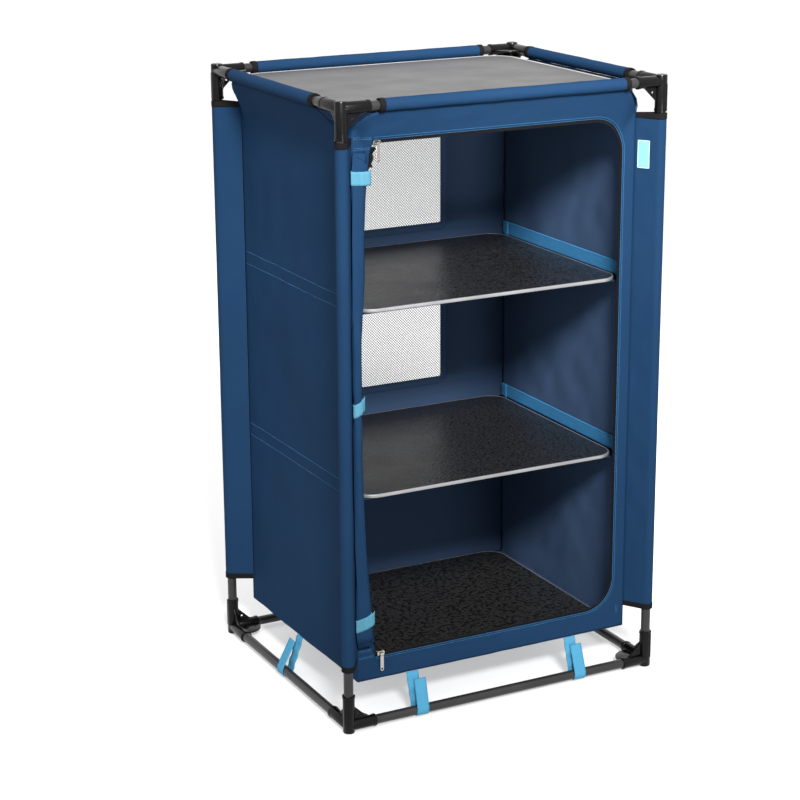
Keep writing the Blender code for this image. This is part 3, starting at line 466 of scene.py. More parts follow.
OUTLINE_SIDE_Z = (0.14, 0.95)
WINDOWS = {"upper": (0.729, 0.904), "lower": (0.439, 0.614)}
WINDOW_HALF = 0.127
WINDOW_RADIUS = 0.003
HEM_WIDTH = 0.014
HOLE_MARGIN = 0.006
GRID = 0.008
LEAN_ROWS_START = 0.93
CORNER_CALM = {"front": 0.04, "side": 0.05, "back": 0.05}
SEAM_CALM = 0.03
WINDOW_CALM = 0.03
ZIP_CALM = (0.003, 0.010)
FRONT_WAVE = (0.07, 0.0018)
FRONT_RIPPLE = (0.025, 0.0007)
PUCKER_FROM_EDGE = 0.010
PUCKER_SPREAD = 0.008
PUCKER = (0.009, 0.0008)
SLANTED_PUCKER = (0.016, 0.0009)
HEAD_FOLD = (0.010, 0.0012)
HEAD_FOLD_START = 0.975
HEAD_FOLD_RUN = 0.015
CREASE_X = 0.2185
CREASE_SLOPE = 0.62
CREASE_SPREAD = 0.0028
CREASE_DEPTH = 0.0016
CREASE_START = 0.965
CREASE_RUN = 0.02
SIDE_SWELL = (0.16, 0.0036)
SIDE_WAVE = (0.05, 0.0012)
SIDE_SLANT = (0.030, 0.0010)
SIDE_COLUMNS = 52
BACK_WAVE = (0.08, 0.0034)
BACK_RIPPLE = (0.035, 0.0010)

weave, given, out = new_group(
    "plain weave", {"Place": (0, 0, 0), "Pitch": 0.001}, ("Height", "Thread", "Slub")
)
half_turn = figure(weave, "DIVIDE", math.pi, given["Pitch"])
across = node(weave, "SeparateXYZ", {"Vector": given["Place"]}).outputs
warp = figure(weave, "SINE", figure(weave, "MULTIPLY", across[0], half_turn))
weft = figure(weave, "SINE", figure(weave, "MULTIPLY", across[1], half_turn))
crossing = figure(weave, "MULTIPLY", warp, weft)
weave.links.new(figure(weave, "SQRT", figure(weave, "ABSOLUTE", crossing)), out["Height"])
weave.links.new(spread(weave, crossing, -1, 1), out["Thread"])
drawn = node(weave, "Mapping", {"Vector": given["Place"], "Scale": (40, 1400, 1)})
slubs = node(weave, "TexNoise", {"Vector": drawn.outputs[0], "Scale": 1.0, "Detail": 2.0})
weave.links.new(slubs.outputs[0], out["Slub"])

crumple, given, out = new_group("soft crumple", {"Place": (0, 0, 0), "Size": 12.0}, ("Fold", "Tone"))
bends = node(crumple, "TexNoise", {"Vector": given["Place"], "Scale": given["Size"], "Detail": 3.0})
bent = figure(crumple, "ABSOLUTE", figure(crumple, "SUBTRACT", bends.outputs[0], 0.5))
crumple.links.new(spread(crumple, bent, 0.0, 0.12), out["Fold"])
fading = node(crumple, "TexNoise", {"Vector": given["Place"], "Scale": 4.5, "Detail": 5.0})
crumple.links.new(spread(crumple, fading.outputs[0], 0.3, 0.7), out["Tone"])


def cloth_look(name, thread, shade, pitch, roughness, depth=0.00018, fold=0.25, ratio=(1, 1), **sockets):
    """Woven cloth: threads over and under each other, slubs, a faint crumple and an uneven tone."""
    look, tree, shader = new_look(name, Specular_IOR_Level=0.02, **sockets)
    coordinates = node(tree, "TexCoord").outputs
    laid = node(tree, "Mapping", {"Vector": coordinates["UV"], "Scale": (*ratio, 1)}).outputs[0]
    threads = node(tree, "Group", {"Place": laid, "Pitch": pitch}, node_tree=weave).outputs
    folds = node(tree, "Group", {"Place": coordinates["Object"], "Size": 9.0}, node_tree=crumple).outputs
    shares = figure(tree, "MULTIPLY_ADD", threads["Thread"], 0.35, 0.15)
    shares = figure(tree, "MULTIPLY_ADD", threads["Slub"], 0.30, shares)
    shares = figure(tree, "MULTIPLY_ADD", folds["Tone"], 0.30, shares)
    colour = mixed(tree, shares, shade, thread)
    height = figure(tree, "MULTIPLY_ADD", folds["Fold"], fold, threads["Height"])
    height = figure(tree, "MULTIPLY_ADD", threads["Slub"], 0.5, height)
    rough = spread(tree, threads["Height"], 0, 1, roughness + 0.06, roughness - 0.04)
    finished(tree, shader, colour, rough, height, depth)
    return look


blue_cloth = cloth_look("blue_cloth", (0.0086, 0.0290, 0.0690), (0.0054, 0.0178, 0.0430), 0.0011, 0.72)
blue_coating = cloth_look("blue_coating", (0.040, 0.070, 0.132), (0.028, 0.050, 0.098), 0.0011, 0.62, 0.00010)
navy_cloth = cloth_look("navy_cloth", (0.010, 0.020, 0.045), (0.006, 0.012, 0.028), 0.0011, 0.75)


def gridded(bm, columns, rows, place, flat):
    """A grid of cloth laid by a rule of (across, up), each from 0 to 1, with a UV map in metres."""
    layer = bm.loops.layers.uv.verify()
    verts = bmesh.ops.create_grid(bm, x_segments=columns, y_segments=rows, size=1)["verts"]
    shares = {vert: ((vert.co.x + 1) / 2, (vert.co.y + 1) / 2) for vert in verts}
    for vert, share in shares.items():
        vert.co = place(*share)
    for face in {face for vert in verts for face in vert.link_faces}:
        for loop in face.loops:
            across, up = shares[loop.vert]
            loop[layer].uv = (across * flat[0], up * flat[1])
    bmesh.ops.remove_doubles(bm, verts=verts, dist=1e-6)


def thickened(piece, wall, side):
    """Gives a piece made as one surface its thickness: inwards for -1, and both ways for 0."""
    thick = piece.modifiers.new("thickness", "SOLIDIFY")
    thick.thickness = wall
    thick.offset = side
    if len(piece.data.materials) > 1:
        thick.material_offset = 1
        thick.material_offset_rim = 0


def hung(
    bm, name, looks, slot, *nodes, flat, area=None, held="hung", wall=CLOTH, side=-1, rests_on=(), **where
):
    """A settled sheet of cloth with its thickness. The size that it was cut to is not used."""
    piece = settled(bm, name, looks, slot, *nodes, **where)
    thickened(piece, wall, side)


def eased(value):
    """A share from 0 to 1 with soft ends."""
    value = min(max(value, 0), 1)
    return value * value * (3 - 2 * value)


def leaning(z, from_corner, reach, raised=0):
    """How far out a wall stands at this height: it is held upright at its corners, and leans to its tube."""
    middle = eased(from_corner / LEAN_CORNER_WIDTH)
    at_corner = LEAN_START_AT_CORNER + raised
    start = at_corner + (LEAN_START - at_corner) * middle
    share = (z - start) / (SEAM_Z - start)
    return reach * (share + math.hypot(share, LEAN_SOFTNESS)) / (1 + math.hypot(1, LEAN_SOFTNESS))


def ruffled(point, size, depth):
    """A gentle unevenness of cloth, the same at each run."""
    return depth * noise.noise(Vector(point) / size)


def read_off(line, z):
    """The value at this height on a line of (height, value) marks."""
    for (low, first), (high, last) in zip(line, line[1:]):
        if z <= high:
            return first + (last - first) * min(max((z - low) / (high - low), 0), 1)
    return line[-1][1]


def hinge_x(z):
    """Where the opening's left edge stands at this height, with the kinks of its line eased."""
    near = [read_off(HINGE_LINE, z + HINGE_EASE * step) for step in (-1, -0.5, 0, 0.5, 1)]
    return sum(near) / len(near)


def from_opening(x, z):
    """How far a place on the front lies outside the opening's rounded edge."""
    _, low, right, high = OPENING
    radius = OPENING_RADII["high" if z > (low + high) / 2 else "low"]
    over_x = x - (right - radius)
    over_z = max(z - (high - radius), low + radius - z)
    return math.hypot(max(over_x, 0), max(over_z, 0)) - radius


def wall_front(x, z):
    """The front wall's middle surface at this place."""
    from_corner = BOX_X - abs(x)
    from_edge = from_opening(x, z)
    loose = eased(from_corner / CORNER_CALM["front"]) * eased((SEAM_Z - z) / SEAM_CALM)
    loose *= eased((from_edge - ZIP_CALM[0]) / ZIP_CALM[1])
    wave = ruffled((x, 0, z), *FRONT_WAVE) + ruffled((x, 5, z), *FRONT_RIPPLE)
    beside_seam = math.exp(-(((from_edge - PUCKER_FROM_EDGE) / PUCKER_SPREAD) ** 2))
    pucker = beside_seam * (ruffled((x, 9, z), *PUCKER) + ruffled((x + z, 17, z - x), *SLANTED_PUCKER))
    at_head = eased((z - HEAD_FOLD_START) / HEAD_FOLD_RUN)
    drawn = ruffled((x * 0.7 - z, 23, (x + z) * 0.25), *HEAD_FOLD) * at_head
    from_crease = (abs(x) - CREASE_X - (SEAM_Z - z) * CREASE_SLOPE) / CREASE_SPREAD
    crease = CREASE_DEPTH * math.exp(-(from_crease**2)) * eased((z - CREASE_START) / CREASE_RUN)
    raised = LEFT_FRONT_RAISED if x < 0 else 0
    off = leaning(z, from_corner, POST_Y - BOX_Y, raised) + loose * (wave + pucker + drawn) - crease
    return Vector((x, -BOX_Y + WALL_INSET - off, z))


def run(start, end, steps):
    """Points along a straight stretch, without its end."""
    return [Vector(start).lerp(Vector(end), i / steps) for i in range(steps)]


def bow(centre, radius, start, end, steps):
    """Points along an arc, without its end."""
    return [Vector(point) for point in arc(centre, radius, start, end, steps)[:-1]]


def opening_edge(grow, left=OPENING[0], long_run=51, tall_run=95):
    """The opening's edge moved outwards, from its top left clockwise as seen from the front."""
    _, low, right, high = OPENING
    low, right, high = low - grow, right + grow, high + grow
    upper, lower = OPENING_RADII["high"] + grow, OPENING_RADII["low"] + grow
    points = run((left, high), (right - upper, high), long_run)
    points += bow((right - upper, high - upper), upper, 90, 0, 12)
    points += run((right, high - upper), (right, low + lower), tall_run)
    points += bow((right - lower, low + lower), lower, 0, -90, 12)
    points += run((right - lower, low), (left, low), long_run)
    return points + [Vector((left, low))]


def front_outline():
    """The front panel's outer edge, with as many points as the opening's."""
    start, end = X_SLEEVE
    turn = BOX_X - WALL_CORNER
    low = WALL_FOOT + WALL_CORNER
    cut_right = (end + CUT_RUN, CUT_TOP)
    high_left = (start - LEFT_FRONT_CUT[0], CUT_TOP + LEFT_FRONT_CUT[1])
    side_left = (-BOX_X, CORNER_TOP + LEFT_FRONT_RAISED)
    head = (OUTLINE_HEAD_X, SEAM_Z)
    side_low, side_high = (BOX_X, OUTLINE_SIDE_Z[0]), (BOX_X, OUTLINE_SIDE_Z[1])
    foot_right, foot_left = (OUTLINE_FOOT_X, WALL_FOOT), (-OUTLINE_FOOT_X, WALL_FOOT)
    points = run((start, SEAM_Z), head, 51) + run(head, (end, SEAM_Z), 4)
    points += run((end, SEAM_Z), cut_right, 1) + run(cut_right, (BOX_X, CORNER_TOP), 5)
    points += run((BOX_X, CORNER_TOP), side_high, 2) + run(side_high, side_low, 95)
    points += run(side_low, (BOX_X, low), 4) + bow((turn, low), WALL_CORNER, 0, -90, 4)
    points += run((turn, WALL_FOOT), foot_right, 4) + run(foot_right, foot_left, 51)
    points += run(foot_left, (-turn, WALL_FOOT), 5) + bow((-turn, low), WALL_CORNER, -90, -180, 4)
    points += run((-BOX_X, low), side_left, 90)
    return points + run(side_left, high_left, 5) + run(high_left, (start, SEAM_Z), 1)


left, low, _, high = OPENING
low, high = low - CLOTH_FROM_OPENING, high + CLOTH_FROM_OPENING
inner = opening_edge(CLOTH_FROM_OPENING)[:-1]
turn_low, turn_high = (left, low + HINGE_TURN), (left, high - HINGE_TURN)
left_side = run((left, low), turn_low, 9) + run(turn_low, turn_high, 90) + run(turn_high, (left, high), 6)
inner += [Vector((hinge_x(point.y), point.y)) for point in left_side]
outer = front_outline()
bm = bmesh.new()
steps = len(outer)


def front_place(across, up):
    at = round(across * steps) % steps
    return wall_front(*inner[at].lerp(outer[at], up))


gridded(bm, steps, 9, front_place, (1, 1))
layer = bm.loops.layers.uv.verify()
for face in bm.faces:
    for loop in face.loops:
        loop[layer].uv = loop.vert.co.xz
hung(
    bm, "front_panel_cloth", (blue_cloth, blue_coating), "blue_cloth", "front_panel",
    flat=(0.038, 2.76), held="stretched", side=0,
)


def side_extent(z, half, sleeve, raised=0):
    """How far a wall reaches each way at this height: less at its rounded foot and its cut head."""
    low, high = -half, half
    if z > CORNER_TOP:
        share = min(1, (z - CORNER_TOP) / (CUT_TOP - CORNER_TOP))
        late = eased((z - CORNER_TOP - raised) / (CUT_TOP - CORNER_TOP - raised))
        rest = max(0, (z - CUT_TOP) / (SEAM_Z - CUT_TOP))
        low += late * (sleeve[0] - CUT_RUN + half) + rest * CUT_RUN
        high -= share * (half - sleeve[1] - CUT_RUN) + rest * CUT_RUN
    if z < WALL_FOOT + WALL_CORNER:
        short = WALL_CORNER - math.sqrt(max(0, WALL_CORNER**2 - (WALL_FOOT + WALL_CORNER - z) ** 2))
        low, high = low + short, high - short
    return low, high


def stepped(*marks):
    """Places from mark to mark, with even steps between them."""
    found = [marks[0]]
    for low, high in zip(marks, marks[1:]):
        steps = max(1, round((high - low) / GRID))
        found += [low + (high - low) * (i + 1) / steps for i in range(steps)]
    return found


foot_marks = [WALL_FOOT + WALL_CORNER * share for share in (0, 0.1, 0.3, 0.6, 1)]
side_levels = foot_marks[:-1] + stepped(foot_marks[-1], LEAN_ROWS_START, CORNER_TOP, CUT_TOP, SEAM_Z)


def side_wave(sign, y, z):
    """How far a side wall's cloth stands out of its plane at this place."""
    wave = ruffled((sign * 3, y, z), *SIDE_SWELL) + ruffled((sign * 7, y, z), *SIDE_WAVE)
    wave += ruffled((sign * 9, y * 0.8 + z * 0.5, (z - y) * 0.2), *SIDE_SLANT)
    return wave * eased((BOX_Y - abs(y)) / CORNER_CALM["side"]) * eased((SEAM_Z - z) / SEAM_CALM)


def side_place(sign):
    """A side wall's rule: across runs from back to front on the left and from front to back on the right."""

    def place(across, up):
        z = side_levels[round(up * (len(side_levels) - 1))]
        raised = LEFT_FRONT_RAISED if sign < 0 else 0
        low, high = side_extent(z, BOX_Y - WALL_INSET, Y_SLEEVE, raised)
        y = low + (high - low) * across if sign > 0 else high + (low - high) * across
        lean = leaning(z, BOX_Y - abs(y), POST_X - BOX_X, raised if y < 0 else 0)
        x = BOX_X - WALL_INSET + lean + side_wave(sign, y, z)
        return Vector((sign * x, y, z))

    return place


for side, sign in (("left", -1), ("right", 1)):
    bm = bmesh.new()
    gridded(bm, SIDE_COLUMNS, len(side_levels) - 1, side_place(sign), (2 * BOX_Y, SEAM_Z - WALL_FOOT))
    hung(
        bm, f"{side}_panel_cloth", (blue_cloth, blue_coating), "blue_cloth", f"{side}_panel",
        flat=(0.428, 0.955), held="stretched", side=0,
    )

window_marks = [edge for low, high in WINDOWS.values() for edge in (low - HOLE_MARGIN, high + HOLE_MARGIN)]
head_marks = (LEAN_ROWS_START, CORNER_TOP, CUT_TOP, SEAM_Z)
back_levels = foot_marks[:-1] + stepped(foot_marks[-1], *sorted(window_marks), *head_marks)
hole_half = WINDOW_HALF + HOLE_MARGIN
back_columns = stepped(BOX_X, hole_half, -hole_half, -BOX_X)


def back_place(across, up):
    """The back wall's rule: across runs from right to left as seen from the front."""
    z = back_levels[round(up * (len(back_levels) - 1))]
    reach = side_extent(z, BOX_X, X_SLEEVE)[1]
    x = back_columns[round(across * (len(back_columns) - 1))] * reach / BOX_X
    from_corner = BOX_X - abs(x)
    from_window = min(max(abs(x) - WINDOW_HALF, low - z, z - high) for low, high in WINDOWS.values())
    loose = eased(from_corner / CORNER_CALM["back"]) * eased((SEAM_Z - z) / SEAM_CALM)
    loose *= eased((from_window - HEM_WIDTH) / WINDOW_CALM)
    wave = ruffled((x, 11, z * 0.4), *BACK_WAVE) + ruffled((x, 13, z * 0.5), *BACK_RIPPLE)
    return Vector((x, BOX_Y - WALL_INSET + leaning(z, from_corner, POST_Y - BOX_Y) + loose * wave, z))


bm = bmesh.new()
gridded(bm, len(back_columns) - 1, len(back_levels) - 1, back_place, (0.522, SEAM_Z - WALL_FOOT))
open_faces = []
for face in bm.faces:
    middle = face.calc_center_median()
    inside = any(low - HOLE_MARGIN < middle.z < high + HOLE_MARGIN for low, high in WINDOWS.values())
    if abs(middle.x) < hole_half and inside:
        open_faces.append(face)
bmesh.ops.delete(bm, geom=open_faces, context="FACES")
window_area = sum(2 * WINDOW_HALF * (high - low) for low, high in WINDOWS.values())
hung(
    bm, "back_panel_cloth", (blue_cloth, blue_coating), "blue_cloth", "back_panel",
    flat=(0.522, 0.955), area=0.522 * 0.945 - window_area, held="stretched", side=0,
)

# Sleeves: a tunnel of the same cloth along the head of each wall, sewn shut below its top tube, with a
# binding of black grosgrain round each raw end.
BINDING = 0.0095
BINDING_PROUD = 0.0007
BINDING_OVERHANG = 0.0008
BINDING_SQUARENESS = (0.35, 0.6)
SLEEVE_SIDES = 32
SLEEVE_COLUMN = 0.006
SLEEVE_WAVE = (0.03, 0.0005)
SLEEVE_END_CALM = 0.02
SLEEVE_TUCK = 0.0009
SLEEVE_TUCK_SHARE = 0.03

black_binding = cloth_look(
    "black_binding", (0.010, 0.009, 0.010), (0.004, 0.004, 0.004), 0.0016, 0.70, 0.00030, 0.1
)


def sleeve_place(axis, centre, start, end, turn):
    """A sleeve's rule: across runs along the tube and up runs round it, from its seam underneath."""

    def place(across, up):
        along = start + (end - start) * across
        angle = -math.pi / 2 + turn * 2 * math.pi * up
        point = Vector((along, centre[0], centre[1] + 3 * up))
        loose = eased(min(along - start, end - along) / SLEEVE_END_CALM)
        radius = SLEEVE_RADIUS + ruffled(point, *SLEEVE_WAVE) * loose
        for tuck in (SLEEVE_TUCK_SHARE, 1 - SLEEVE_TUCK_SHARE):
            radius -= SLEEVE_TUCK * math.exp(-(((up - tuck) / SLEEVE_TUCK_SHARE) ** 2))
        out, z = centre[0] + radius * math.cos(angle), centre[1] + radius * math.sin(angle)
        return Vector((along, out, z)) if axis == "X" else Vector((out, along, z))

    return place


def build_sleeve(name, axis, centre, start, end):
    """A sleeve from start to end along its tube, and the bindings round its two ends."""
    turn = -1 if axis == "X" else 1
    girth = 2 * math.pi * SLEEVE_RADIUS
    bm = bmesh.new()
    steps = round((end - start) / SLEEVE_COLUMN)
    gridded(bm, steps, SLEEVE_SIDES, sleeve_place(axis, centre, start, end, turn), (end - start, girth))
    bmesh.ops.recalc_face_normals(bm, faces=bm.faces)
    hung(
        bm, f"{name}_sleeve", blue_cloth, "blue_cloth",
        flat=(end - start, girth), rests_on=[f"top_tube_{name}"],
    )
    bm = bmesh.new()
    for edge, way in ((start, 1), (end, -1)):
        middle = edge + way * (BINDING / 2 - BINDING_OVERHANG)

        def place(across, up):
            turn_round = 2 * math.pi * across
            section = 2 * math.pi * up
            wide = math.copysign(abs(math.cos(section)) ** BINDING_SQUARENESS[0], math.cos(section))
            deep = math.copysign(abs(math.sin(section)) ** BINDING_SQUARENESS[1], math.sin(section))
            along = middle + wide * BINDING / 2
            radius = SLEEVE_RADIUS - CLOTH / 2 + deep * (CLOTH / 2 + BINDING_PROUD)
            out, z = centre[0] + radius * math.cos(turn_round), centre[1] + radius * math.sin(turn_round)
            return Vector((along, out, z)) if axis == "X" else Vector((out, along, z))

        gridded(bm, 40, 16, place, (girth, 2 * BINDING))
    bmesh.ops.recalc_face_normals(bm, faces=bm.faces)
    settled(bm, f"{name}_sleeve_bindings", black_binding, "zip_black")


build_sleeve("front", "X", (-POST_Y, TOP_Z), *X_SLEEVE)
build_sleeve("back", "X", (POST_Y, TOP_Z), *X_SLEEVE)
build_sleeve("left", "Y", (-POST_X, TOP_Z), *Y_SLEEVE)
build_sleeve("right", "Y", (POST_X, TOP_Z), *Y_SLEEVE)

# Corner wings: a sleeve of cloth round each post, joined by two flat layers to a corner of the cabinet, so
# that the posts keep the walls stretched. Black grosgrain binds the top and bottom edges.
WING_FOOT = 0.110
WING_TOP = 0.9765
WING_RADIUS = 0.0105
WING_FRONT_TIP = (-0.0300, -0.0268)
WING_SIDE_TIP = (-0.0294, -0.0279)
WING_CLOTH = 0.0009
WING_BINDINGS_PAST = (0.0008, 0.0004)
WING_ROWS = 150
WING_WEB_START = -0.012
WING_WEB_END = 0.036
WING_CALM = 0.006
WING_BOUND_CALM = 0.02
WING_FOLD = (0.05, 0.0014)
WING_CREASE = (0.03, 0.0006)
WING_HEAD_RIPPLE = (0.011, 0.0016)
WING_HEAD_RUN = 0.09
WING_SLEEVE_WAVE = (0.02, 0.0002)


def tangent_turn(point, radius, side):
    """The angle, in degrees, at which a line from a point touches a circle round the origin."""
    return math.degrees(math.atan2(point[1], point[0]) + side * math.acos(radius / math.hypot(*point)))


def wing_section(proud=0.0):
    """A wing from above, its post at the origin and the cabinet towards -X and -Y."""
    radius = WING_RADIUS + proud
    start = tangent_turn(WING_SIDE_TIP, radius, 1) % 360 - 360
    end = (tangent_turn(WING_FRONT_TIP, radius, -1) + 360) % 360
    corner = (WING_FRONT_TIP[0], WING_SIDE_TIP[1])
    touching = arc((0, 0), radius, start, end, 28)
    points = run(WING_SIDE_TIP, touching[0], 10) + bow((0, 0), radius, start, end, 28)
    points += run(touching[-1], WING_FRONT_TIP, 10)
    return points + [Vector(WING_FRONT_TIP), Vector(corner)]


def wing_place(section, sx, sy, foot, top, unrest):
    """A wing's rule: across runs round the section and up runs along the post."""
    steps = len(section)

    def place(across, up):
        u, v = section[round(across * steps) % steps]
        z = foot + (top - foot) * up
        away = math.hypot(u, v)
        loose = eased((away - WING_RADIUS) / WING_CALM) * eased((WING_WEB_END - away) / WING_CALM)
        fold = ruffled((sx * 2 + u * 2, sy * 2, z), *WING_FOLD) + ruffled((sx, sy + v, z * 2), *WING_CREASE)
        near_top = math.exp(-(((z - top) / WING_HEAD_RUN) ** 2))
        ripple = near_top * ruffled((sx * 4, sy * 4, z + u * 0.8), *WING_HEAD_RIPPLE)
        unbound = eased((min(z - foot, top - z) - BINDING) / WING_BOUND_CALM)
        if u < WING_WEB_START:
            side = 1 if u * WING_SIDE_TIP[1] - v * WING_SIDE_TIP[0] > 0 else -1
            shift = Vector((v, -u)).normalized() * (unrest * loose * unbound * (fold + ripple) * side)
        else:
            tight = ruffled((sx * 5, sy * 5 + across * 2, z * 0.5), *WING_SLEEVE_WAVE)
            shift = Vector((u, v)).normalized() * (unrest * (1 - loose) * tight)
        return Vector((sx * (POST_X + u + shift.x), sy * (POST_Y + v + shift.y), z))

    return place


wing_girth = sum((b - a).length for a, b in zip(wing_section(), wing_section()[1:]))
for side, sx in (("left", -1), ("right", 1)):
    for face, sy in (("front", -1), ("back", 1)):
        section = wing_section()
        bm = bmesh.new()
        flat = (wing_girth, WING_TOP - WING_FOOT)
        gridded(bm, len(section), WING_ROWS, wing_place(section, sx, sy, WING_FOOT, WING_TOP, 1), flat)
        bmesh.ops.recalc_face_normals(bm, faces=bm.faces)
        hung(
            bm, f"{face}_{side}_wing", blue_cloth, "blue_cloth", f"corner_wing_{face}_{side}",
            flat=flat, held="stretched", wall=WING_CLOTH, rests_on=[f"post_{face}_{side}"], sharp=60,
        )
        bm = bmesh.new()
        outside = wing_section(BINDING_PROUD)
        below, above = WING_BINDINGS_PAST
        for foot in (WING_FOOT - below, WING_TOP - BINDING + above):
            bound_place = wing_place(outside, sx, sy, foot, foot + BINDING, 0)
            gridded(bm, len(outside), 6, bound_place, (wing_girth, BINDING))
        bmesh.ops.recalc_face_normals(bm, faces=bm.faces)
        bindings = settled(bm, f"{face}_{side}_wing_bindings", black_binding, "zip_black", sharp=60)
        thickened(bindings, BINDING_PROUD + WING_CLOTH, -1)

# Roof and floor: a flat panel of cloth sewn into the foot of the sleeves, under the top board, and one
# sewn to the walls' lower edges. Both have their greyer coated side inwards.
ROOF_Z = 1.0158
ROOF_HALF = (0.2866, 0.2367)
FLOOR_Z = 0.0723
FLOOR_HALF = (0.2581, 0.2111)
PANEL_COLUMNS = 60
PANEL_ROWS = 50
ROOF_SAG = 0.0010
ROOF_SAG_RUN = 0.1
ROOF_WAVE = 0.08
FLOOR_WAVE = (0.06, 0.0005)
FLOOR_CALM = 0.02


def roof_place(across, up):
    """The roof's rule: its reach shrinks towards front and back, where its corners are cut off."""
    y = ROOF_HALF[1] * (2 * up - 1)
    reach = ROOF_HALF[0]
    for way, edge in ((-1, Y_SLEEVE[0]), (1, Y_SLEEVE[1])):
        if way * y > way * edge:
            reach += (y - edge) / (way * ROOF_HALF[1] - edge) * (X_SLEEVE[1] - reach)
    x = reach * (2 * across - 1)
    sag = ROOF_SAG * eased((reach - abs(x)) / ROOF_SAG_RUN) * (1 + ruffled((x, y, 0), ROOF_WAVE, 1))
    return Vector((x, y, ROOF_Z - sag))


bm = bmesh.new()
gridded(bm, PANEL_COLUMNS, PANEL_ROWS, roof_place, (2 * ROOF_HALF[0], 2 * ROOF_HALF[1]))
hung(
    bm, "roof_cloth", (blue_cloth, blue_coating), "blue_cloth", "roof_panel",
    flat=(0.573, 0.473), area=0.26, held="stretched", side=0,
)


def floor_place(across, up):
    """The floor's rule: a flat panel with the walls' rounded corners."""
    y = FLOOR_HALF[1] * (2 * up - 1)
    short = max(0, abs(y) - FLOOR_HALF[1] + WALL_CORNER)
    reach = FLOOR_HALF[0] - WALL_CORNER + math.sqrt(max(0, WALL_CORNER**2 - short**2))
    x = reach * (2 * across - 1)
    edge = min(FLOOR_HALF[0] - abs(x), FLOOR_HALF[1] - abs(y))
    return Vector((x, y, FLOOR_Z + ruffled((x, y, 0), *FLOOR_WAVE) * eased(edge / FLOOR_CALM)))


bm = bmesh.new()
gridded(bm, PANEL_COLUMNS, PANEL_ROWS, floor_place, (2 * FLOOR_HALF[0], 2 * FLOOR_HALF[1]))
hung(
    bm, "floor_cloth", (blue_coating, blue_cloth), "navy_cloth", "floor_panel",
    flat=(0.517, 0.423), held="stretched", side=0,
)

# Windows: two panes of fine pale net, each edged on both faces by a folded hem of the wall's cloth, which
# is sewn down in two rows.
HEM_THICK = 0.0012
HEM_BEND = (0.0012, 0.6)
HEM_TURN = (0.001, 0.7)
HEM_ROWS = (0.0028, HEM_WIDTH - 0.0022)
NET_REACH = 0.004
NET_PITCH = 0.0036
NET_THREAD = 0.00054
WALL_MIDDLE = 0.2122
STITCH = 0.0030
THREAD = 0.00052
STITCH_LIFTS = (-1.6, 0.55, 0.9, 0.55)

net_thread = cloth_look("net_thread", (0.34, 0.34, 0.36), (0.26, 0.26, 0.28), 0.0008, 0.7)
thread_blue = cloth_look("thread_blue", (0.050, 0.170, 0.310), (0.036, 0.130, 0.250), 0.0005, 0.6)
thread_navy = cloth_look("thread_navy", (0.014, 0.040, 0.095), (0.009, 0.028, 0.070), 0.0005, 0.6)


def rounded_loop(left, low, right, high, radius, grow=0.0, corner=8, step=0.01):
    """Points round a rectangle with rounded corners, anticlockwise, all moved outwards by grow."""
    corners = (
        (right - radius, low + radius, -90),
        (right - radius, high - radius, 0),
        (left + radius, high - radius, 90),
        (left + radius, low + radius, 180),
    )
    points = []
    for i, (x, y, start) in enumerate(corners):
        turned_corner = arc((x, y), radius + grow, start, start + 90, corner)
        points += [Vector(point) for point in turned_corner[:-1]]
        next_x, next_y, next_start = corners[(i + 1) % 4]
        after = arc((next_x, next_y), radius + grow, next_start, next_start + 90, corner)[0]
        length = (Vector((x, y)) - Vector((next_x, next_y))).length
        points += run(turned_corner[-1], after, max(1, round(length / step)))
    return points


def framed(bm, loop, section, lay, flat=None):
    """Carries a closed section of (outwards, height) round a loop, which lay puts in its plane."""
    rings = [loop(grow) for grow, _ in section]
    count, sides = len(rings[0]), len(section)

    def place(across, up):
        side = round(up * sides) % sides
        return lay(rings[side][round(across * count) % count], section[side][1])

    around = sum((b - a).length for a, b in zip(rings[0], rings[0][1:]))
    girth = sum((Vector(b) - Vector(a)).length for a, b in zip(section, section[1:]))
    gridded(bm, count, sides, place, flat or (around, girth))


def corded(bm, path, out, radius, sides=4, closed=False):
    """A thin round cord along a path, with out as a way across it at each point."""
    last = len(path) - 1

    def place(across, up):
        at = round(across * last)
        before, after = path[max(at - 1, 0)], path[min(at + 1, last)]
        if closed and at in (0, last):
            before, after = path[-2], path[1]
        way = (after - before).normalized()
        rise = out(path[at]) if callable(out) else out
        rise = (rise - way * rise.dot(way)).normalized()
        angle = 2 * math.pi * up
        return path[at] + radius * (math.cos(angle) * rise + math.sin(angle) * way.cross(rise))

    gridded(bm, last, sides, place, (0.001 * last, 2 * math.pi * radius))


def evenly(path, step):
    """A path's points again, at even steps along it."""
    path = [Vector(point) for point in path]
    lengths = [0]
    for a, b in zip(path, path[1:]):
        lengths.append(lengths[-1] + (b - a).length)
    count = max(1, round(lengths[-1] / step))
    points = []
    at = 0
    for i in range(count + 1):
        wanted = lengths[-1] * i / count
        while at < len(path) - 2 and lengths[at + 1] < wanted:
            at += 1
        part = (wanted - lengths[at]) / max(1e-9, lengths[at + 1] - lengths[at])
        points.append(path[at].lerp(path[at + 1], min(part, 1)))
    return points


def stitched(bm, path, out, pitch=STITCH, radius=THREAD / 2):
    """A row of stitches: a thread that lies on the cloth and dives into it at each hole."""
    quarters = evenly(path, pitch / 4)
    points = []
    for i, point in enumerate(quarters):
        rise = out(point) if callable(out) else out
        points.append(point + rise * radius * STITCH_LIFTS[i % 4])
    corded(bm, points, out, radius)


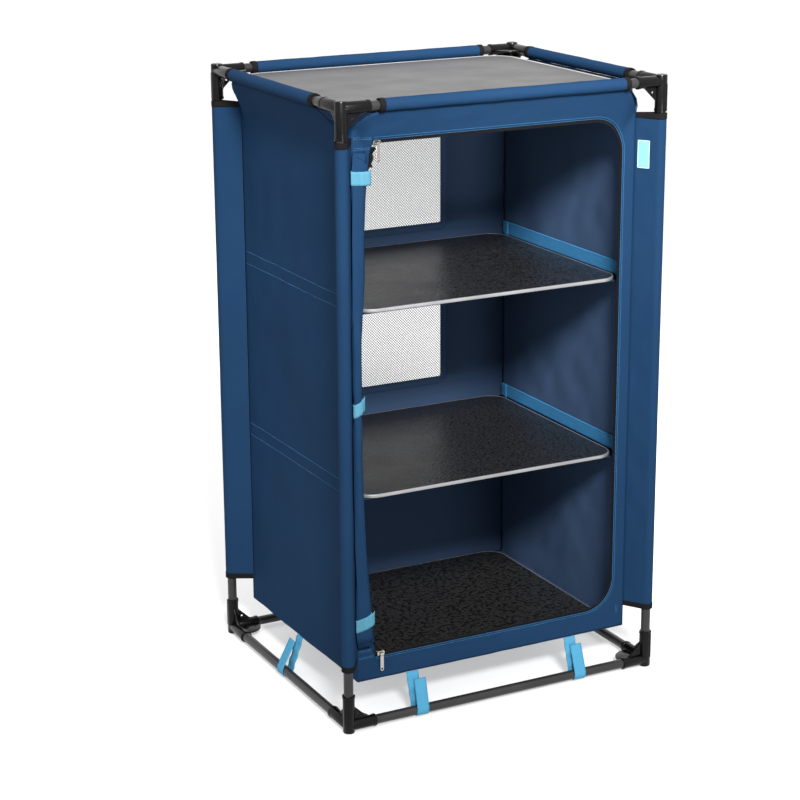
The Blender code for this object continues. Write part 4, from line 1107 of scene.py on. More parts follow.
def build_window(level, low, high):
    """A window's hem, its two stitch rows on each side, and its net."""

    def loop(grow):
        return rounded_loop(-WINDOW_HALF, low, WINDOW_HALF, high, WINDOW_RADIUS, grow)

    edge = CLOTH / 2 + HEM_THICK
    bend, bend_share = HEM_BEND
    turn, turn_share = HEM_TURN
    section = [(0, -bend_share * edge), (bend, -edge)]
    section += [(HEM_WIDTH - turn, -edge), (HEM_WIDTH, -turn_share * edge)]
    section += [(u, -v) for u, v in section[::-1]]
    bm = bmesh.new()
    framed(bm, loop, section, lambda point, height: Vector((point.x, WALL_MIDDLE + height, point.y)))
    bmesh.ops.recalc_face_normals(bm, faces=bm.faces)
    settled(bm, f"{level}_window_hem", blue_coating, "blue_cloth", sharp=50)
    bm = bmesh.new()
    for grow in HEM_ROWS:
        for facing in (-1, 1):
            ring = loop(grow)
            path = [Vector((point.x, WALL_MIDDLE + facing * edge, point.y)) for point in ring + ring[:1]]
            stitched(bm, path, Vector((0, facing, 0)))
    settled(bm, f"{level}_window_stitches", thread_navy, "navy_cloth")
    half = WINDOW_HALF + NET_REACH
    low, high = low - NET_REACH, high + NET_REACH
    bm = bmesh.new()
    step = NET_PITCH * math.sqrt(2)
    count = round((2 * half + high - low) / step)
    for lean in (-1, 1):
        for i in range(1, count):
            offset = -half + i * step
            points = []
            for z in (low, high):
                x = offset + (-(z - low) if lean < 0 else z - high)
                if abs(x) > half:
                    z += (abs(x) - half) * (1 if z == low else -1)
                    x = math.copysign(half, x)
                points.append(Vector((x, WALL_MIDDLE + lean * NET_THREAD * 0.5, z)))
            if points[0].z < points[1].z:
                corded(bm, points, Vector((0, 1, 0)), NET_THREAD)
    bmesh.ops.holes_fill(bm, edges=bm.edges, sides=4)
    bmesh.ops.recalc_face_normals(bm, faces=bm.faces)
    net = settled(bm, f"{level}_window_net", net_thread, "pale_net", f"window_net_{level}")


for level, (low, high) in WINDOWS.items():
    build_window(level, low, high)

# Base straps: six short lengths of light-blue webbing, sewn behind the cabinet's lower edge. Each goes down
# to a base tube, round it and up again, askew, to a tail that is closed on it with hook-and-loop.
STRAP_WIDTH = 0.022
STRAP_THICKNESS = 0.0012
STRAP_STEP = 0.003
STRAP_WRAP = 0.0089
STRAP_TAIL_SHARE = 0.22
STRAP_TAIL_GAP = 0.0006
STRAP_BEND = 0.0008
STRAP_BEND_TURN = 0.9
STRAP_SLANT = (0.15, 1.05)
STRAP_PLACES = {
    "front_left": ("X", -1, -0.158, 0.012),
    "front_right": ("X", -1, 0.150, 0.010),
    "back_left": ("X", 1, -0.158, -0.012),
    "back_right": ("X", 1, 0.150, -0.010),
    "left": ("Y", -1, 0.012, 0.020),
    "right": ("Y", 1, 0.012, 0.014),
}

light_webbing = cloth_look(
    "light_webbing", (0.066, 0.255, 0.400), (0.046, 0.200, 0.330), 0.0016, 0.68, 0.00035, 0.1, (2.2, 1.0)
)


def banded(bm, path, way, width, columns=6):
    """A flat band of a width along a path, with way across it at each point."""
    last = len(path) - 1
    length = sum((b - a).length for a, b in zip(path, path[1:]))

    def place(across, up):
        at = round(up * last)
        side = way[at] if isinstance(way, list) else way
        return path[at] + side * (width * (across - 0.5))

    gridded(bm, columns, last, place, (width, length))
    return length


def strap_section(reach, tube):
    """A base strap from the side, as (outwards, height) from its start behind the wall to its tail."""
    start = Vector((reach - WALL_INSET - tube, WALL_FOOT - STRAP_THICKNESS / 2 - BASE_Z))
    touch_in = tangent_turn(start, STRAP_WRAP, 1)
    inner = Vector(arc((0, 0), STRAP_WRAP, touch_in, touch_in, 1)[0])
    down = inner - start
    outwards = Vector((-down.y, down.x)).normalized()
    tail = start + down * STRAP_TAIL_SHARE + outwards * (STRAP_THICKNESS + STRAP_TAIL_GAP)
    touch_out = tangent_turn(tail, STRAP_WRAP, -1) + 360
    points = [start, *[Vector(p) for p in arc((0, 0), STRAP_WRAP, touch_in, touch_out, 16)], tail]
    return [point + Vector((tube, BASE_Z)) for point in evenly(points, STRAP_STEP)]


for place_name, (axis, sign, centre, slant) in STRAP_PLACES.items():
    reach, tube = (BOX_Y, POST_Y) if axis == "X" else (BOX_X, POST_X)
    section = strap_section(reach, tube)
    lowest = min(range(len(section)), key=lambda i: section[i].y)
    path = []
    for i, (outwards, z) in enumerate(section):
        risen = (z - BASE_Z) / (WALL_FOOT - BASE_Z)
        along = centre + (0 if i < lowest - 3 else slant * (STRAP_SLANT[0] + STRAP_SLANT[1] * max(risen, 0)))
        bend = STRAP_BEND * math.sin(i * STRAP_BEND_TURN) if i < lowest else 0.0
        spot = (along, sign * (outwards + bend), z) if axis == "X" else (sign * (outwards + bend), along, z)
        path.append(Vector(spot))
    way = Vector((1, 0, 0)) if axis == "X" else Vector((0, 1, 0))
    bm = bmesh.new()
    length = banded(bm, path, way, STRAP_WIDTH)
    hung(
        bm, f"{place_name}_strap", light_webbing, "light_webbing", f"base_strap_{place_name}",
        flat=(STRAP_WIDTH, length), held="folded", wall=STRAP_THICKNESS, side=0,
        rests_on=["front_panel_cloth"],
    )

# Shelf slings: under each shelf lies a sheet of navy cloth, turned up at both sides and sewn to the side
# walls through a band of light-blue webbing. Each band's back end is folded under.
SLING_LEVELS = {"upper": 0.6929, "lower": 0.3829}
SLING_HALF = 0.2572
SLING_FRONT = -0.200
SLING_BACK = 0.2105
SLING_RISE = 0.0260
SLING_FOLD = 0.003
SLING_FOLD_MIDDLE = 0.001
SLING_SLACK = 0.0006
SLING_SLACK_WAVE = 60
SLING_SLACK_START = (0.246, 0.006)
SLING_SLACK_END = 0.004
BAND_WIDTH = 0.0255
BAND_FRONT = SLING_FRONT + 0.001
BAND_BACK = 0.2045
BAND_STEP = 0.006
BAND_THICKNESS = 0.0012
BAND_INSIDE = 0.0013
BAND_ABOVE = 0.0018
BAND_OFF = 0.0003
BAND_WAVE = (0.03, 0.0004)
BAND_FOLD = 0.0014
BAND_ROW = 0.0022
BAND_END_ROWS = (0.004, 0.013)
BAND_END_HALF = 0.011
OUTER_ROW_SHORT = 0.002
OUTER_ROW_STEP = 0.004

# The bands are the same light-blue webbing as the base straps, in a darker colour that paints the shade
# inside the cabinet.
webbing_painted_shade = cloth_look(
    "webbing_painted_shade", (0.040, 0.175, 0.350), (0.028, 0.133, 0.275), 0.0016, 0.68, 0.00035, 0.1, (2.2, 1.0)
)
for level, z in SLING_LEVELS.items():
    flat_half = SLING_HALF - SLING_FOLD
    turned_up = run((SLING_HALF, z + SLING_FOLD), (SLING_HALF, z + SLING_RISE), 4)
    turned_up += [Vector((SLING_HALF, z + SLING_RISE))]
    bent = Vector((SLING_HALF - SLING_FOLD_MIDDLE, z + SLING_FOLD_MIDDLE))
    across_path = [Vector((-point.x, point.y)) for point in (*turned_up[:0:-1], bent)]
    across_path += [*run((-flat_half, z), (flat_half, z), 60), Vector((flat_half, z)), bent, *turned_up]
    last = len(across_path) - 1

    def sling_place(across, up):
        """A sling's rule: across runs from the left wall to the right one, and up towards the back."""
        x, height = across_path[round(across * last)]
        y = SLING_FRONT + (SLING_BACK - SLING_FRONT) * up
        start, ease = SLING_SLACK_START
        beyond = eased((abs(x) - start) / ease) * eased((SLING_HALF - abs(x)) / SLING_SLACK_END)
        return Vector((x, y, height - SLING_SLACK * beyond * (1 + math.sin(y * SLING_SLACK_WAVE))))

    bm = bmesh.new()
    gridded(bm, last, 50, sling_place, (0.566, SLING_BACK - SLING_FRONT))
    hung(
        bm, f"{level}_sling", navy_cloth, "navy_cloth", f"shelf_sling_{level}",
        flat=(0.566, 0.411), held="stretched", side=0, rests_on=["left_panel_cloth", "right_panel_cloth"],
    )
    for side, sign in (("left", -1), ("right", 1)):
        x = sign * (SLING_HALF - BAND_INSIDE)
        middle = z + BAND_ABOVE + BAND_WIDTH / 2
        edge = evenly([(x, y, middle) for y in (BAND_FRONT, BAND_BACK)], BAND_STEP)
        for point in edge:
            point.x -= sign * (BAND_OFF + ruffled((sign, point.y, z), *BAND_WAVE))
        bend = edge[-1] - Vector((sign * BAND_FOLD / 2, -BAND_FOLD / 2, 0))
        folded = [point - Vector((sign * BAND_FOLD, 0, 0)) for point in edge[:-5:-1]]
        bm = bmesh.new()
        length = banded(bm, [*edge, bend, *folded], Vector((0, 0, 1)), BAND_WIDTH)
        hung(
            bm, f"{level}_band_{side}", webbing_painted_shade, "light_webbing",
            flat=(BAND_WIDTH, length), wall=BAND_THICKNESS, side=0, rests_on=[f"{side}_panel_cloth"],
        )
        inward = Vector((-sign, 0, 0))
        bm = bmesh.new()
        for lift in (-BAND_WIDTH / 2 + BAND_ROW, BAND_WIDTH / 2 - BAND_ROW):
            rise = Vector((-sign * BAND_THICKNESS / 2, 0, lift))
            stitched(bm, [point + rise for point in edge[:-3]], inward)
        x_face = edge[-1].x - sign * (BAND_FOLD + BAND_THICKNESS / 2)
        for back in BAND_END_ROWS:
            lifts = (-BAND_END_HALF, BAND_END_HALF)
            stitched(bm, [Vector((x_face, BAND_BACK - back, middle + lift)) for lift in lifts], inward)
        settled(bm, f"{level}_band_stitches_{side}", thread_navy, "navy_cloth")
        bm = bmesh.new()
        for lift in (BAND_ROW, BAND_WIDTH - BAND_ROW):
            height = z + BAND_ABOVE + lift
            reach = sign * (BOX_X - WALL_INSET + CLOTH / 2)
            ends = (SLING_FRONT + OUTER_ROW_SHORT, BAND_BACK - OUTER_ROW_SHORT)
            line = evenly([(reach, y, height) for y in ends], OUTER_ROW_STEP)
            for point in line:
                point.x += sign * side_wave(sign, point.y, height)
            stitched(bm, line, -inward)
        settled(bm, f"{level}_outer_stitches_{side}", thread_blue, "blue_cloth")

# Boards: two laminated shelves, a darker board on the floor and a paler one on the roof, all loose. A
# pressed strip of bright aluminium grips the edge of each all round.
BOARD_HALF = (0.245, 0.205)
BOARD_RADIUS = 0.035
BOARD_THICKNESS = 0.006
TOP_BOARD_HALF = (0.262, 0.222)
TOP_BOARD_RADIUS = 0.046
TOP_BOARD_THICKNESS = 0.0051
TRIM_LIP = 0.0027
TOP_TRIM_LIP = 0.0065
TRIM_WALL = 0.0004
TRIM_FOLD = 0.0010
TRIM_SIDE = 0.0009
TRIM_LIP_EDGE = 0.0002
TRIM_NOSE = ((0.0016, 0), (0.0007, 0.0003), (0.0002, 0.0009), (0, 0.0017))

# The grain's Crease output masks its hollows, which the boards darken as painted shade.
pebble, given, out = new_group("pebble grain", {"Place": (0, 0, 0), "Size": 600.0}, ("Height", "Crease"))
cells = node(pebble, "TexVoronoi", {"Vector": given["Place"], "Scale": given["Size"]}, feature="SMOOTH_F1")
pebble.links.new(spread(pebble, cells.outputs["Distance"], 0.0, 0.6, 1.0, 0.0), out["Height"])
pebble.links.new(spread(pebble, cells.outputs["Distance"], 0.35, 0.6), out["Crease"])


def board_look(name, colour, dark, roughness, size, depth, **sockets):
    """Laminate with a pressed pebble grain, painted shade darkening its creases, and a few rubbed marks."""
    look, tree, shader = new_look(name, **sockets)
    place = node(tree, "TexCoord").outputs["Object"]
    grain = node(tree, "Group", {"Place": place, "Size": size}, node_tree=pebble).outputs
    marks = node(tree, "Group", {"Place": place, "Grain": 1500.0}, node_tree=handling).outputs
    duller = tuple(0.82 * value for value in colour)
    toned = mixed(tree, spread(tree, marks["Tone"], 0.3, 0.7), colour, duller)
    crease_painted_shade = mixed(tree, figure(tree, "MULTIPLY", grain["Crease"], 0.85), toned, dark)
    rubbed = mixed(tree, figure(tree, "MULTIPLY", marks["Rub"], 0.12), crease_painted_shade, (0.35, 0.35, 0.35))
    rough = spread(tree, marks["Tone"], 0.3, 0.7, roughness - 0.04, roughness + 0.05)
    finished(tree, shader, rubbed, rough, grain["Height"], depth)
    return look


# Each board's second colour is the painted shade in the creases of its grain.
grey_board = board_look(
    "grey_board", (0.016, 0.016, 0.016), (0.002, 0.002, 0.003), 0.36, 240.0, 0.00030, Specular_IOR_Level=0.28
)
black_board = board_look(
    "black_board", (0.020, 0.019, 0.018), (0.001, 0.001, 0.001), 0.36, 170.0, 0.00080, Specular_IOR_Level=0.36
)
pale_board = board_look(
    "pale_board", (0.058, 0.056, 0.057), (0.043, 0.042, 0.043), 0.45, 900.0, 0.00005, Specular_IOR_Level=0.30
)
bright_trim = hard_look(
    "bright_trim", (0.29, 0.29, 0.30), (0.55, 0.55, 0.56), 0.36, 0.00002, grain=2200.0, rub=0.2, Metallic=0.6
)
pale_trim = hard_look(
    "pale_trim", (0.33, 0.33, 0.34), (0.5, 0.5, 0.5), 0.42, 0.00002, grain=2200.0, rub=0.2, Metallic=0.1
)


def build_board(name, half, radius, top, thickness, look, slot, trim_look, lip):
    """A board and its edge trim, which move together."""
    half_x, half_y = half
    core = thickness - 2 * TRIM_WALL
    outline = rounded_loop(-half_x, -half_y, half_x, half_y, radius, -TRIM_FOLD, 16, 0.05)
    bm = bmesh.new()
    plate(bm, outline, core, Matrix.Translation((0, 0, top - thickness / 2)), edge=0)
    settled(bm, f"{name}_panel", look, slot, name, body=name)

    def loop(grow):
        return rounded_loop(-half_x, -half_y, half_x, half_y, radius, grow, 16, 0.03)

    outer, under = thickness / 2, thickness / 2 - TRIM_WALL * 1.6
    upper = [(-lip, under), (-lip, outer - TRIM_LIP_EDGE), (-lip + TRIM_LIP_EDGE, outer)]
    upper += [(-inwards, outer - down) for inwards, down in TRIM_NOSE]
    section = upper + [(u, -v) for u, v in upper[::-1]] + [(-TRIM_SIDE, -under), (-TRIM_SIDE, under)]
    bm = bmesh.new()
    framed(bm, loop, section, lambda point, height: Vector((*point, top - thickness / 2 + height)))
    bmesh.ops.recalc_face_normals(bm, faces=bm.faces)
    settled(bm, f"{name}_edge", trim_look, "bright_metal", f"{name}_edge_trim", body=name, sharp=25)


for name, top, look, slot in (
    ("upper_shelf", 0.700, grey_board, "grey_board"),
    ("lower_shelf", 0.390, grey_board, "grey_board"),
    ("bottom_board", 0.0794, black_board, "black_board"),
):
    build_board(name, BOARD_HALF, BOARD_RADIUS, top, BOARD_THICKNESS, look, slot, bright_trim, TRIM_LIP)
build_board(
    "top_board", TOP_BOARD_HALF, TOP_BOARD_RADIUS, 1.0220, TOP_BOARD_THICKNESS, pale_board, "top_grey",
    pale_trim, TOP_TRIM_LIP,
)

# Door zip: a black coil zip sewn round the opening, from the top left round to the lower left. Its tape
# lies under the front panel's folded edge, which is sewn down in two light-blue rows.
TAPE_WIDTH = 0.0056
TAPE_START = -0.2277
TAPE_FROM_EDGE = 0.0003
TAPE_OFF = 0.0007
TAPE_TILT = 0.0004
TAPE_THICKNESS = 0.0006
COIL_OFF = 0.0012
COIL_SIDES = 6
COIL_PITCH = 0.0015
COIL_REACH = 0.0011
COIL_RISE = 0.0006
COIL_THREAD = 0.00033
COIL_FROM_EDGE = 0.0014
SEAM_ROWS = (0.0064, 0.0100)
SEAM_START = -0.226
HINGE_ROWS = (0.9765, 0.9740, 0.9600, 0.9575, 0.1260, 0.1235, 0.1135, 0.1110)
HINGE_ROW_START = -0.2565
HINGE_ROW_POINTS = 27
HINGE_ROW_STEP = 0.001
TACK_COLUMNS = (0.2450, 0.2475)
TACK_HEIGHTS = (0.098, 0.105, 0.112)
FOOT_ROWS = (0.0045, 0.0070)

zip_tape = cloth_look("zip_tape", (0.007, 0.007, 0.008), (0.003, 0.003, 0.004), 0.0009, 0.75)
zip_coil = hard_look(
    "zip_coil", (0.009, 0.009, 0.010), (0.04, 0.04, 0.04), 0.35, 0.00002, Specular_IOR_Level=0.2
)


def on_wall(point, off):
    """A place on the front wall, moved off it towards the front."""
    spot = wall_front(point[0], point[1])
    return Vector((spot.x, spot.y - off, spot.z))


def tape_place(across, up):
    """The tape's rule: across runs along the zip, and up from the opening to the tape's outer edge."""
    at = round(across * tape_steps)
    return on_wall(tape_inner[at].lerp(tape_outer[at], up), TAPE_OFF - TAPE_TILT * up)


tape_inner = opening_edge(TAPE_FROM_EDGE, TAPE_START)
tape_outer = opening_edge(TAPE_WIDTH, TAPE_START)
tape_steps = len(tape_inner) - 1
tape_length = sum((b - a).length for a, b in zip(tape_inner, tape_inner[1:]))
bm = bmesh.new()
gridded(bm, tape_steps, 3, tape_place, (tape_length, TAPE_WIDTH))
thickened(settled(bm, "opening_zip_tape", zip_tape, "zip_black", "zip_track"), TAPE_THICKNESS, 0)
toward_viewer = Vector((0, -1, 0))
coil_line = [on_wall(point, COIL_OFF) for point in opening_edge(COIL_FROM_EDGE, TAPE_START)]
centre_line = evenly(coil_line, COIL_PITCH / COIL_SIDES)
coil_path = []
for i, point in enumerate(centre_line):
    before, after = centre_line[max(i - 1, 0)], centre_line[min(i + 1, len(centre_line) - 1)]
    side = (after - before).normalized().cross(toward_viewer)
    turn = i * 2 * math.pi / COIL_SIDES
    wound = side * (COIL_REACH * math.cos(turn)) + toward_viewer * (COIL_RISE * math.sin(turn))
    coil_path.append(point + wound)
bm = bmesh.new()
corded(bm, coil_path, toward_viewer, COIL_THREAD)
settled(bm, "opening_zip_coil", zip_coil, "zip_black")

bm = bmesh.new()
for grow in SEAM_ROWS:
    stitched(bm, [on_wall(point, CLOTH / 2) for point in opening_edge(grow, SEAM_START)], toward_viewer)
for z in HINGE_ROWS:
    columns = [HINGE_ROW_START + HINGE_ROW_STEP * step for step in range(HINGE_ROW_POINTS)]
    stitched(bm, [on_wall((x, z), CLOTH / 2) for x in columns], toward_viewer)
for x in TACK_COLUMNS:
    stitched(bm, [on_wall((x, z), CLOTH / 2) for z in TACK_HEIGHTS], toward_viewer)
settled(bm, "front_seam_stitches", thread_blue, "blue_cloth")
bm = bmesh.new()
for lift in FOOT_ROWS:
    foot_row = [on_wall((x / 100, WALL_FOOT + lift), CLOTH / 2) for x in range(-25, 26)]
    stitched(bm, foot_row, toward_viewer)
settled(bm, "front_foot_stitches", thread_navy, "blue_cloth")

# Zip sliders: two plated die-cast sliders that run on the coil, one from each end of it. Each has a bridge
# with a bar, and from the bar hangs a pressed pull tab with a hole near its end.
SLIDER_LENGTH = 0.013
SLIDER_PLATE = 0.0012
SLIDER_GAP = 0.0015
SLIDER_SPINE = 0.0028
SLIDER_OVER = 0.0052
SLIDER_CORNER = 0.0022
FOLD_Z = 0.945
FRONT_SLOPE = 0.36986
SLIDER_EDGE = 0.00035
SPINE_FROM_EDGE = 0.0003
SPINE_HALF = 0.0050
SPINE_CORNER = 0.0010
SPINE_SUNK = 0.0005
BAR_RADIUS = 0.0008
BAR_STANDOFF = 0.0032
BRIDGE_HALF = 0.0048
BRIDGE_LEG = 0.0012
BRIDGE_SUNK = 0.0006
BRIDGE_CORNER = 0.001
BRIDGE_EDGE = 0.0002
BRIDGE_HEIGHT = 1.8 * BAR_RADIUS
PULL_WIDTH = 0.0062
PULL_LENGTH = 0.030
PULL_THICKNESS = 0.0012
PULL_UNDER_BAR = 0.0017
PULL_CORNER = 0.0029
PULL_EDGE = 0.00025
PULL_HOLE_FROM_END = 0.0036
PULL_HOLE_RADIUS = 0.0017
KNUCKLE = (0.0025, 0.0016, 0.0033)
KNUCKLE_EDGE = 0.0003
SLIDERS = {
    "top": (-0.2212, 0.967, 1, (-0.2212, -0.226625, 0.96805)),
    "low": (-0.2170, 0.117, -1, (-0.2170, -0.2181, 0.11595)),
}

plated = hard_look(
    "plated", (0.50, 0.47, 0.44), (0.80, 0.78, 0.75), 0.24, 0.00002, grain=1800.0, Metallic=1.0
)


def build_slider(level, centre, edge, up, bar):
    """A slider round the coil: two plates, the spine that joins them at the opening, and the bridge."""
    spine_start, spine_end = edge - up * SPINE_FROM_EDGE, edge - up * (SPINE_FROM_EDGE + SLIDER_SPINE)
    low, high = sorted((spine_end, edge + up * SLIDER_OVER))
    outline = rounded_loop(-SLIDER_LENGTH / 2, low, SLIDER_LENGTH / 2, high, SLIDER_CORNER, 0, 6, 0.05)
    upright = Matrix.Rotation(math.pi / 2, 4, "X")
    bm = bmesh.new()
    reach = SLIDER_GAP + SLIDER_PLATE / 2
    for off in (-reach, reach):
        lay = Matrix.Translation((centre, -WALL_MIDDLE + off, 0)) @ upright
        plate(bm, outline, SLIDER_PLATE, lay, edge=SLIDER_EDGE)
    spine_low, spine_high = sorted((spine_start, spine_end))
    spine = rounded_loop(-SPINE_HALF, spine_low, SPINE_HALF, spine_high, SPINE_CORNER, 0, 4, 0.05)
    lay = Matrix.Translation((centre, -WALL_MIDDLE, 0)) @ upright
    plate(bm, spine, 2 * (SLIDER_GAP + SPINE_SUNK), lay, edge=0)
    plate_y = -WALL_MIDDLE - SLIDER_GAP - SLIDER_PLATE
    bar_y = plate_y - BAR_STANDOFF
    root = plate_y + BRIDGE_SUNK
    leg = BRIDGE_HALF - BRIDGE_LEG
    outside = [(-BRIDGE_HALF, root), (-BRIDGE_HALF, bar_y)]
    outside += [(-BRIDGE_HALF + BRIDGE_CORNER, bar_y - BAR_RADIUS)]
    inside = [(-leg, root), (-leg, bar_y + BAR_RADIUS)]
    bridge = outside + [(-x, y) for x, y in outside[::-1] + inside] + inside[::-1]
    lay = Matrix.Translation((centre, 0, (low + high) / 2))
    plate(bm, bridge, BRIDGE_HEIGHT, lay, edge=BRIDGE_EDGE)
    for vert in bm.verts:
        vert.co.y -= FRONT_SLOPE * max(0.0, vert.co.z - FOLD_Z)
    settled(bm, f"{level}_slider", plated, "bright_metal", f"zip_slider_{level}", body=f"zip_slider_{level}")
    build_pull(level, bar)


def build_pull(level, bar):
    """A pull tab: a knuckle round the bar, and a plate with rounded ends and a hole."""
    x, y, z = bar
    outer, bore, half_length = KNUCKLE
    bm = bmesh.new()
    shoulder, end = outer - KNUCKLE_EDGE, half_length - KNUCKLE_EDGE
    ring = [(bore, -half_length), (shoulder, -half_length), (outer, -end)]
    ring += [(outer, end), (shoulder, half_length), (bore, half_length), (bore, -half_length)]
    turned(bm, ring, 24, Matrix.Translation(bar) @ ALONG["X"])
    low = z - PULL_LENGTH
    high = z - PULL_UNDER_BAR
    shape = rounded_loop(-PULL_WIDTH / 2, low, PULL_WIDTH / 2, high, PULL_CORNER, 0, 6, 0.05)
    hole = arc((0, low + PULL_HOLE_FROM_END), PULL_HOLE_RADIUS, 0, 345, 23)
    upright = Matrix.Translation((x, y, 0)) @ Matrix.Rotation(math.pi / 2, 4, "X")
    plate(bm, shape, PULL_THICKNESS, upright, [hole], edge=PULL_EDGE)
    settled(bm, f"{level}_pull", plated, "bright_metal", f"zip_pull_{level}", body=f"zip_pull_{level}")


for level, (centre, edge, up, bar) in SLIDERS.items():
    build_slider(level, centre, edge, up, bar)

# Rolled door: the door's cloth leaves the left edge of the opening, and is rolled outwards into nine
# turns in front of it. The roll lies in the corner between the wall and the wing, and thins out to both
# ends, where the wall's cloth is sewn down in double rows.
ROLL_LEFT = -0.2775
ROLL_BEHIND = 0.0085
ROLL_BACK = -0.2155
ROLL_AREA = 0.000128
ROLL_DEPTHS = (0.0085, 0.0145)
ROLL_ENDS = (0.1305, 0.9545)
ROLL_THINS = (0.160, 0.915)
ROLL_END_SHARE = 0.03
ROLL_FORWARD = 1.4
ROLL_FOLDS = (0.030, 0.022)
ROLL_RUFFLES = ((1.1, 0.06), (1.0, 0.04))
ROLL_TURNS = 9
ROLL_STEP = 0.098
ROLL_CLEARANCE = 0.0020
ROLL_THINNEST = 0.0012
DOOR_HINGE_Y = -0.2134
DOOR_CORNERS = (0.119, 0.964)
DOOR_DIP = 0.021
DOOR_DIP_AT = -0.03
DOOR_DIP_SPREAD = 0.055
DOOR_END_TURNS = 0.16
DOOR_ROWS = 120
DOOR_SHEET = (0.458, 0.813)
DOOR_CLOTH = 0.0008
ROLL_STRAPS = {"upper": (0.917, -0.003), "middle": (0.551, 0.007), "lower": (0.182, 0.009)}
ROLL_PINCH = 0.10
ROLL_PINCH_SPREAD = 0.020
ROLL_COLUMNS = 26
LEAD_COLUMNS = 5
LEAD_TURNS = 0.20
LEAD_OFF = 0.0004
LEAD_BEND = (0.0004, 0.001)

front_tip = Vector((-POST_X - WING_FRONT_TIP[0], -POST_Y - WING_FRONT_TIP[1]))
touch_angle = math.radians(tangent_turn(WING_FRONT_TIP, WING_RADIUS, -1))
touch_x = POST_X + WING_RADIUS * math.cos(touch_angle)
touch_y = -POST_Y - WING_RADIUS * math.sin(touch_angle)
touch_left = Vector((-touch_x, touch_y))
wing_way = (front_tip - touch_left).normalized()
wing_facing = Vector((wing_way.y, -wing_way.x))


def roll_shape(z):
    """The roll's middle and half sizes at this height: where it is narrow it is deep."""
    right = hinge_x(z) - ROLL_BEHIND
    half_width = (right - ROLL_LEFT) / 2
    shallow, deep = ROLL_DEPTHS
    half_depth = min(max(ROLL_AREA / half_width, shallow), deep)
    low, high = ROLL_THINS
    thinned = eased((z - high) / (ROLL_ENDS[1] - high)) + eased((low - z) / (low - ROLL_ENDS[0]))
    half_depth *= 1 - (1 - ROLL_END_SHARE) * thinned
    drawn = sum(math.exp(-(((z - strap) / ROLL_PINCH_SPREAD) ** 2)) for strap, _ in ROLL_STRAPS.values())
    half_depth *= 1 - ROLL_PINCH * drawn
    return Vector((right - half_width, ROLL_BACK - ROLL_FORWARD * half_depth)), half_width, half_depth


def roll_point(angle, z, size, grow=0.0):
    """A place on the roll's outside, seen from above: an oval pressed flat by the wall and the wing."""
    centre, half_width, half_depth = roll_shape(z)
    way = Vector((math.cos(angle), math.sin(angle)))
    broad, narrow = ROLL_FOLDS
    coarse, tight = ROLL_RUFFLES
    folds = broad * math.sin(3 * angle + 2.2 + 2.0 * math.sin(z * 7)) + narrow * math.sin(7 * angle + z * 16)
    folds += ruffled((way.x, way.y, z * 14), *coarse) + ruffled((way.x * 2, way.y * 2, z * 40), *tight)
    radius = (1 + folds) / math.hypot(way.x / half_width, way.y / half_depth)
    wing_room = (centre - front_tip).dot(wing_facing) - ROLL_CLEARANCE
    if way.dot(wing_facing) < 0:
        radius = min(radius, -max(wing_room, ROLL_THINNEST) / way.dot(wing_facing))
    if way.y > 0:
        radius = min(radius, (ROLL_BACK - centre.y) / way.y)
    return centre + way * (radius * size + grow)


def door_ends(turns):
    """The door's lower and upper edge: they leave the opening's corners, bend inwards, and reach the roll."""
    share = eased((turns + LEAD_TURNS) / DOOR_END_TURNS)
    dip = DOOR_DIP * math.exp(-(((turns - DOOR_DIP_AT) / DOOR_DIP_SPREAD) ** 2))
    low, high = [corner + (end - corner) * share for corner, end in zip(DOOR_CORNERS, ROLL_ENDS)]
    return low + dip, high - dip


def door_point(turns, z, grow=0.0):
    """A place on the door: below 0 turns it leads in from the hinge, and above it winds inwards."""
    if turns >= 0:
        return roll_point(-2 * math.pi * turns, z, 1 - ROLL_STEP * turns, grow)
    share = 1 + turns / LEAD_TURNS
    meet = roll_point(0, z, 1, grow)
    bend = Vector((meet.x, (DOOR_HINGE_Y + meet.y) / 2)) + Vector(LEAD_BEND)
    hinge = Vector((hinge_x(z) - LEAD_OFF + grow, DOOR_HINGE_Y))
    return hinge * (1 - share) ** 2 + bend * (2 * share * (1 - share)) + meet * share**2


door_steps = [-LEAD_TURNS + LEAD_TURNS * i / LEAD_COLUMNS for i in range(LEAD_COLUMNS)]
door_steps += [i / ROLL_COLUMNS for i in range(ROLL_TURNS * ROLL_COLUMNS + 1)]


def door_place(across, up):
    """The door's rule: across runs from the hinge into the roll, and up from its lower edge."""
    turns = door_steps[round(across * (len(door_steps) - 1))]
    low, high = door_ends(turns)
    z = low + (high - low) * up
    return Vector((*door_point(turns, z), z))


bm = bmesh.new()
gridded(bm, len(door_steps) - 1, DOOR_ROWS, door_place, DOOR_SHEET)
hung(
    bm, "rolled_door", blue_cloth, "blue_cloth", "door_roll",
    flat=(0.458, 0.85), area=0.37, held="folded", wall=DOOR_CLOTH, side=0, rests_on=["front_panel_cloth"],
)

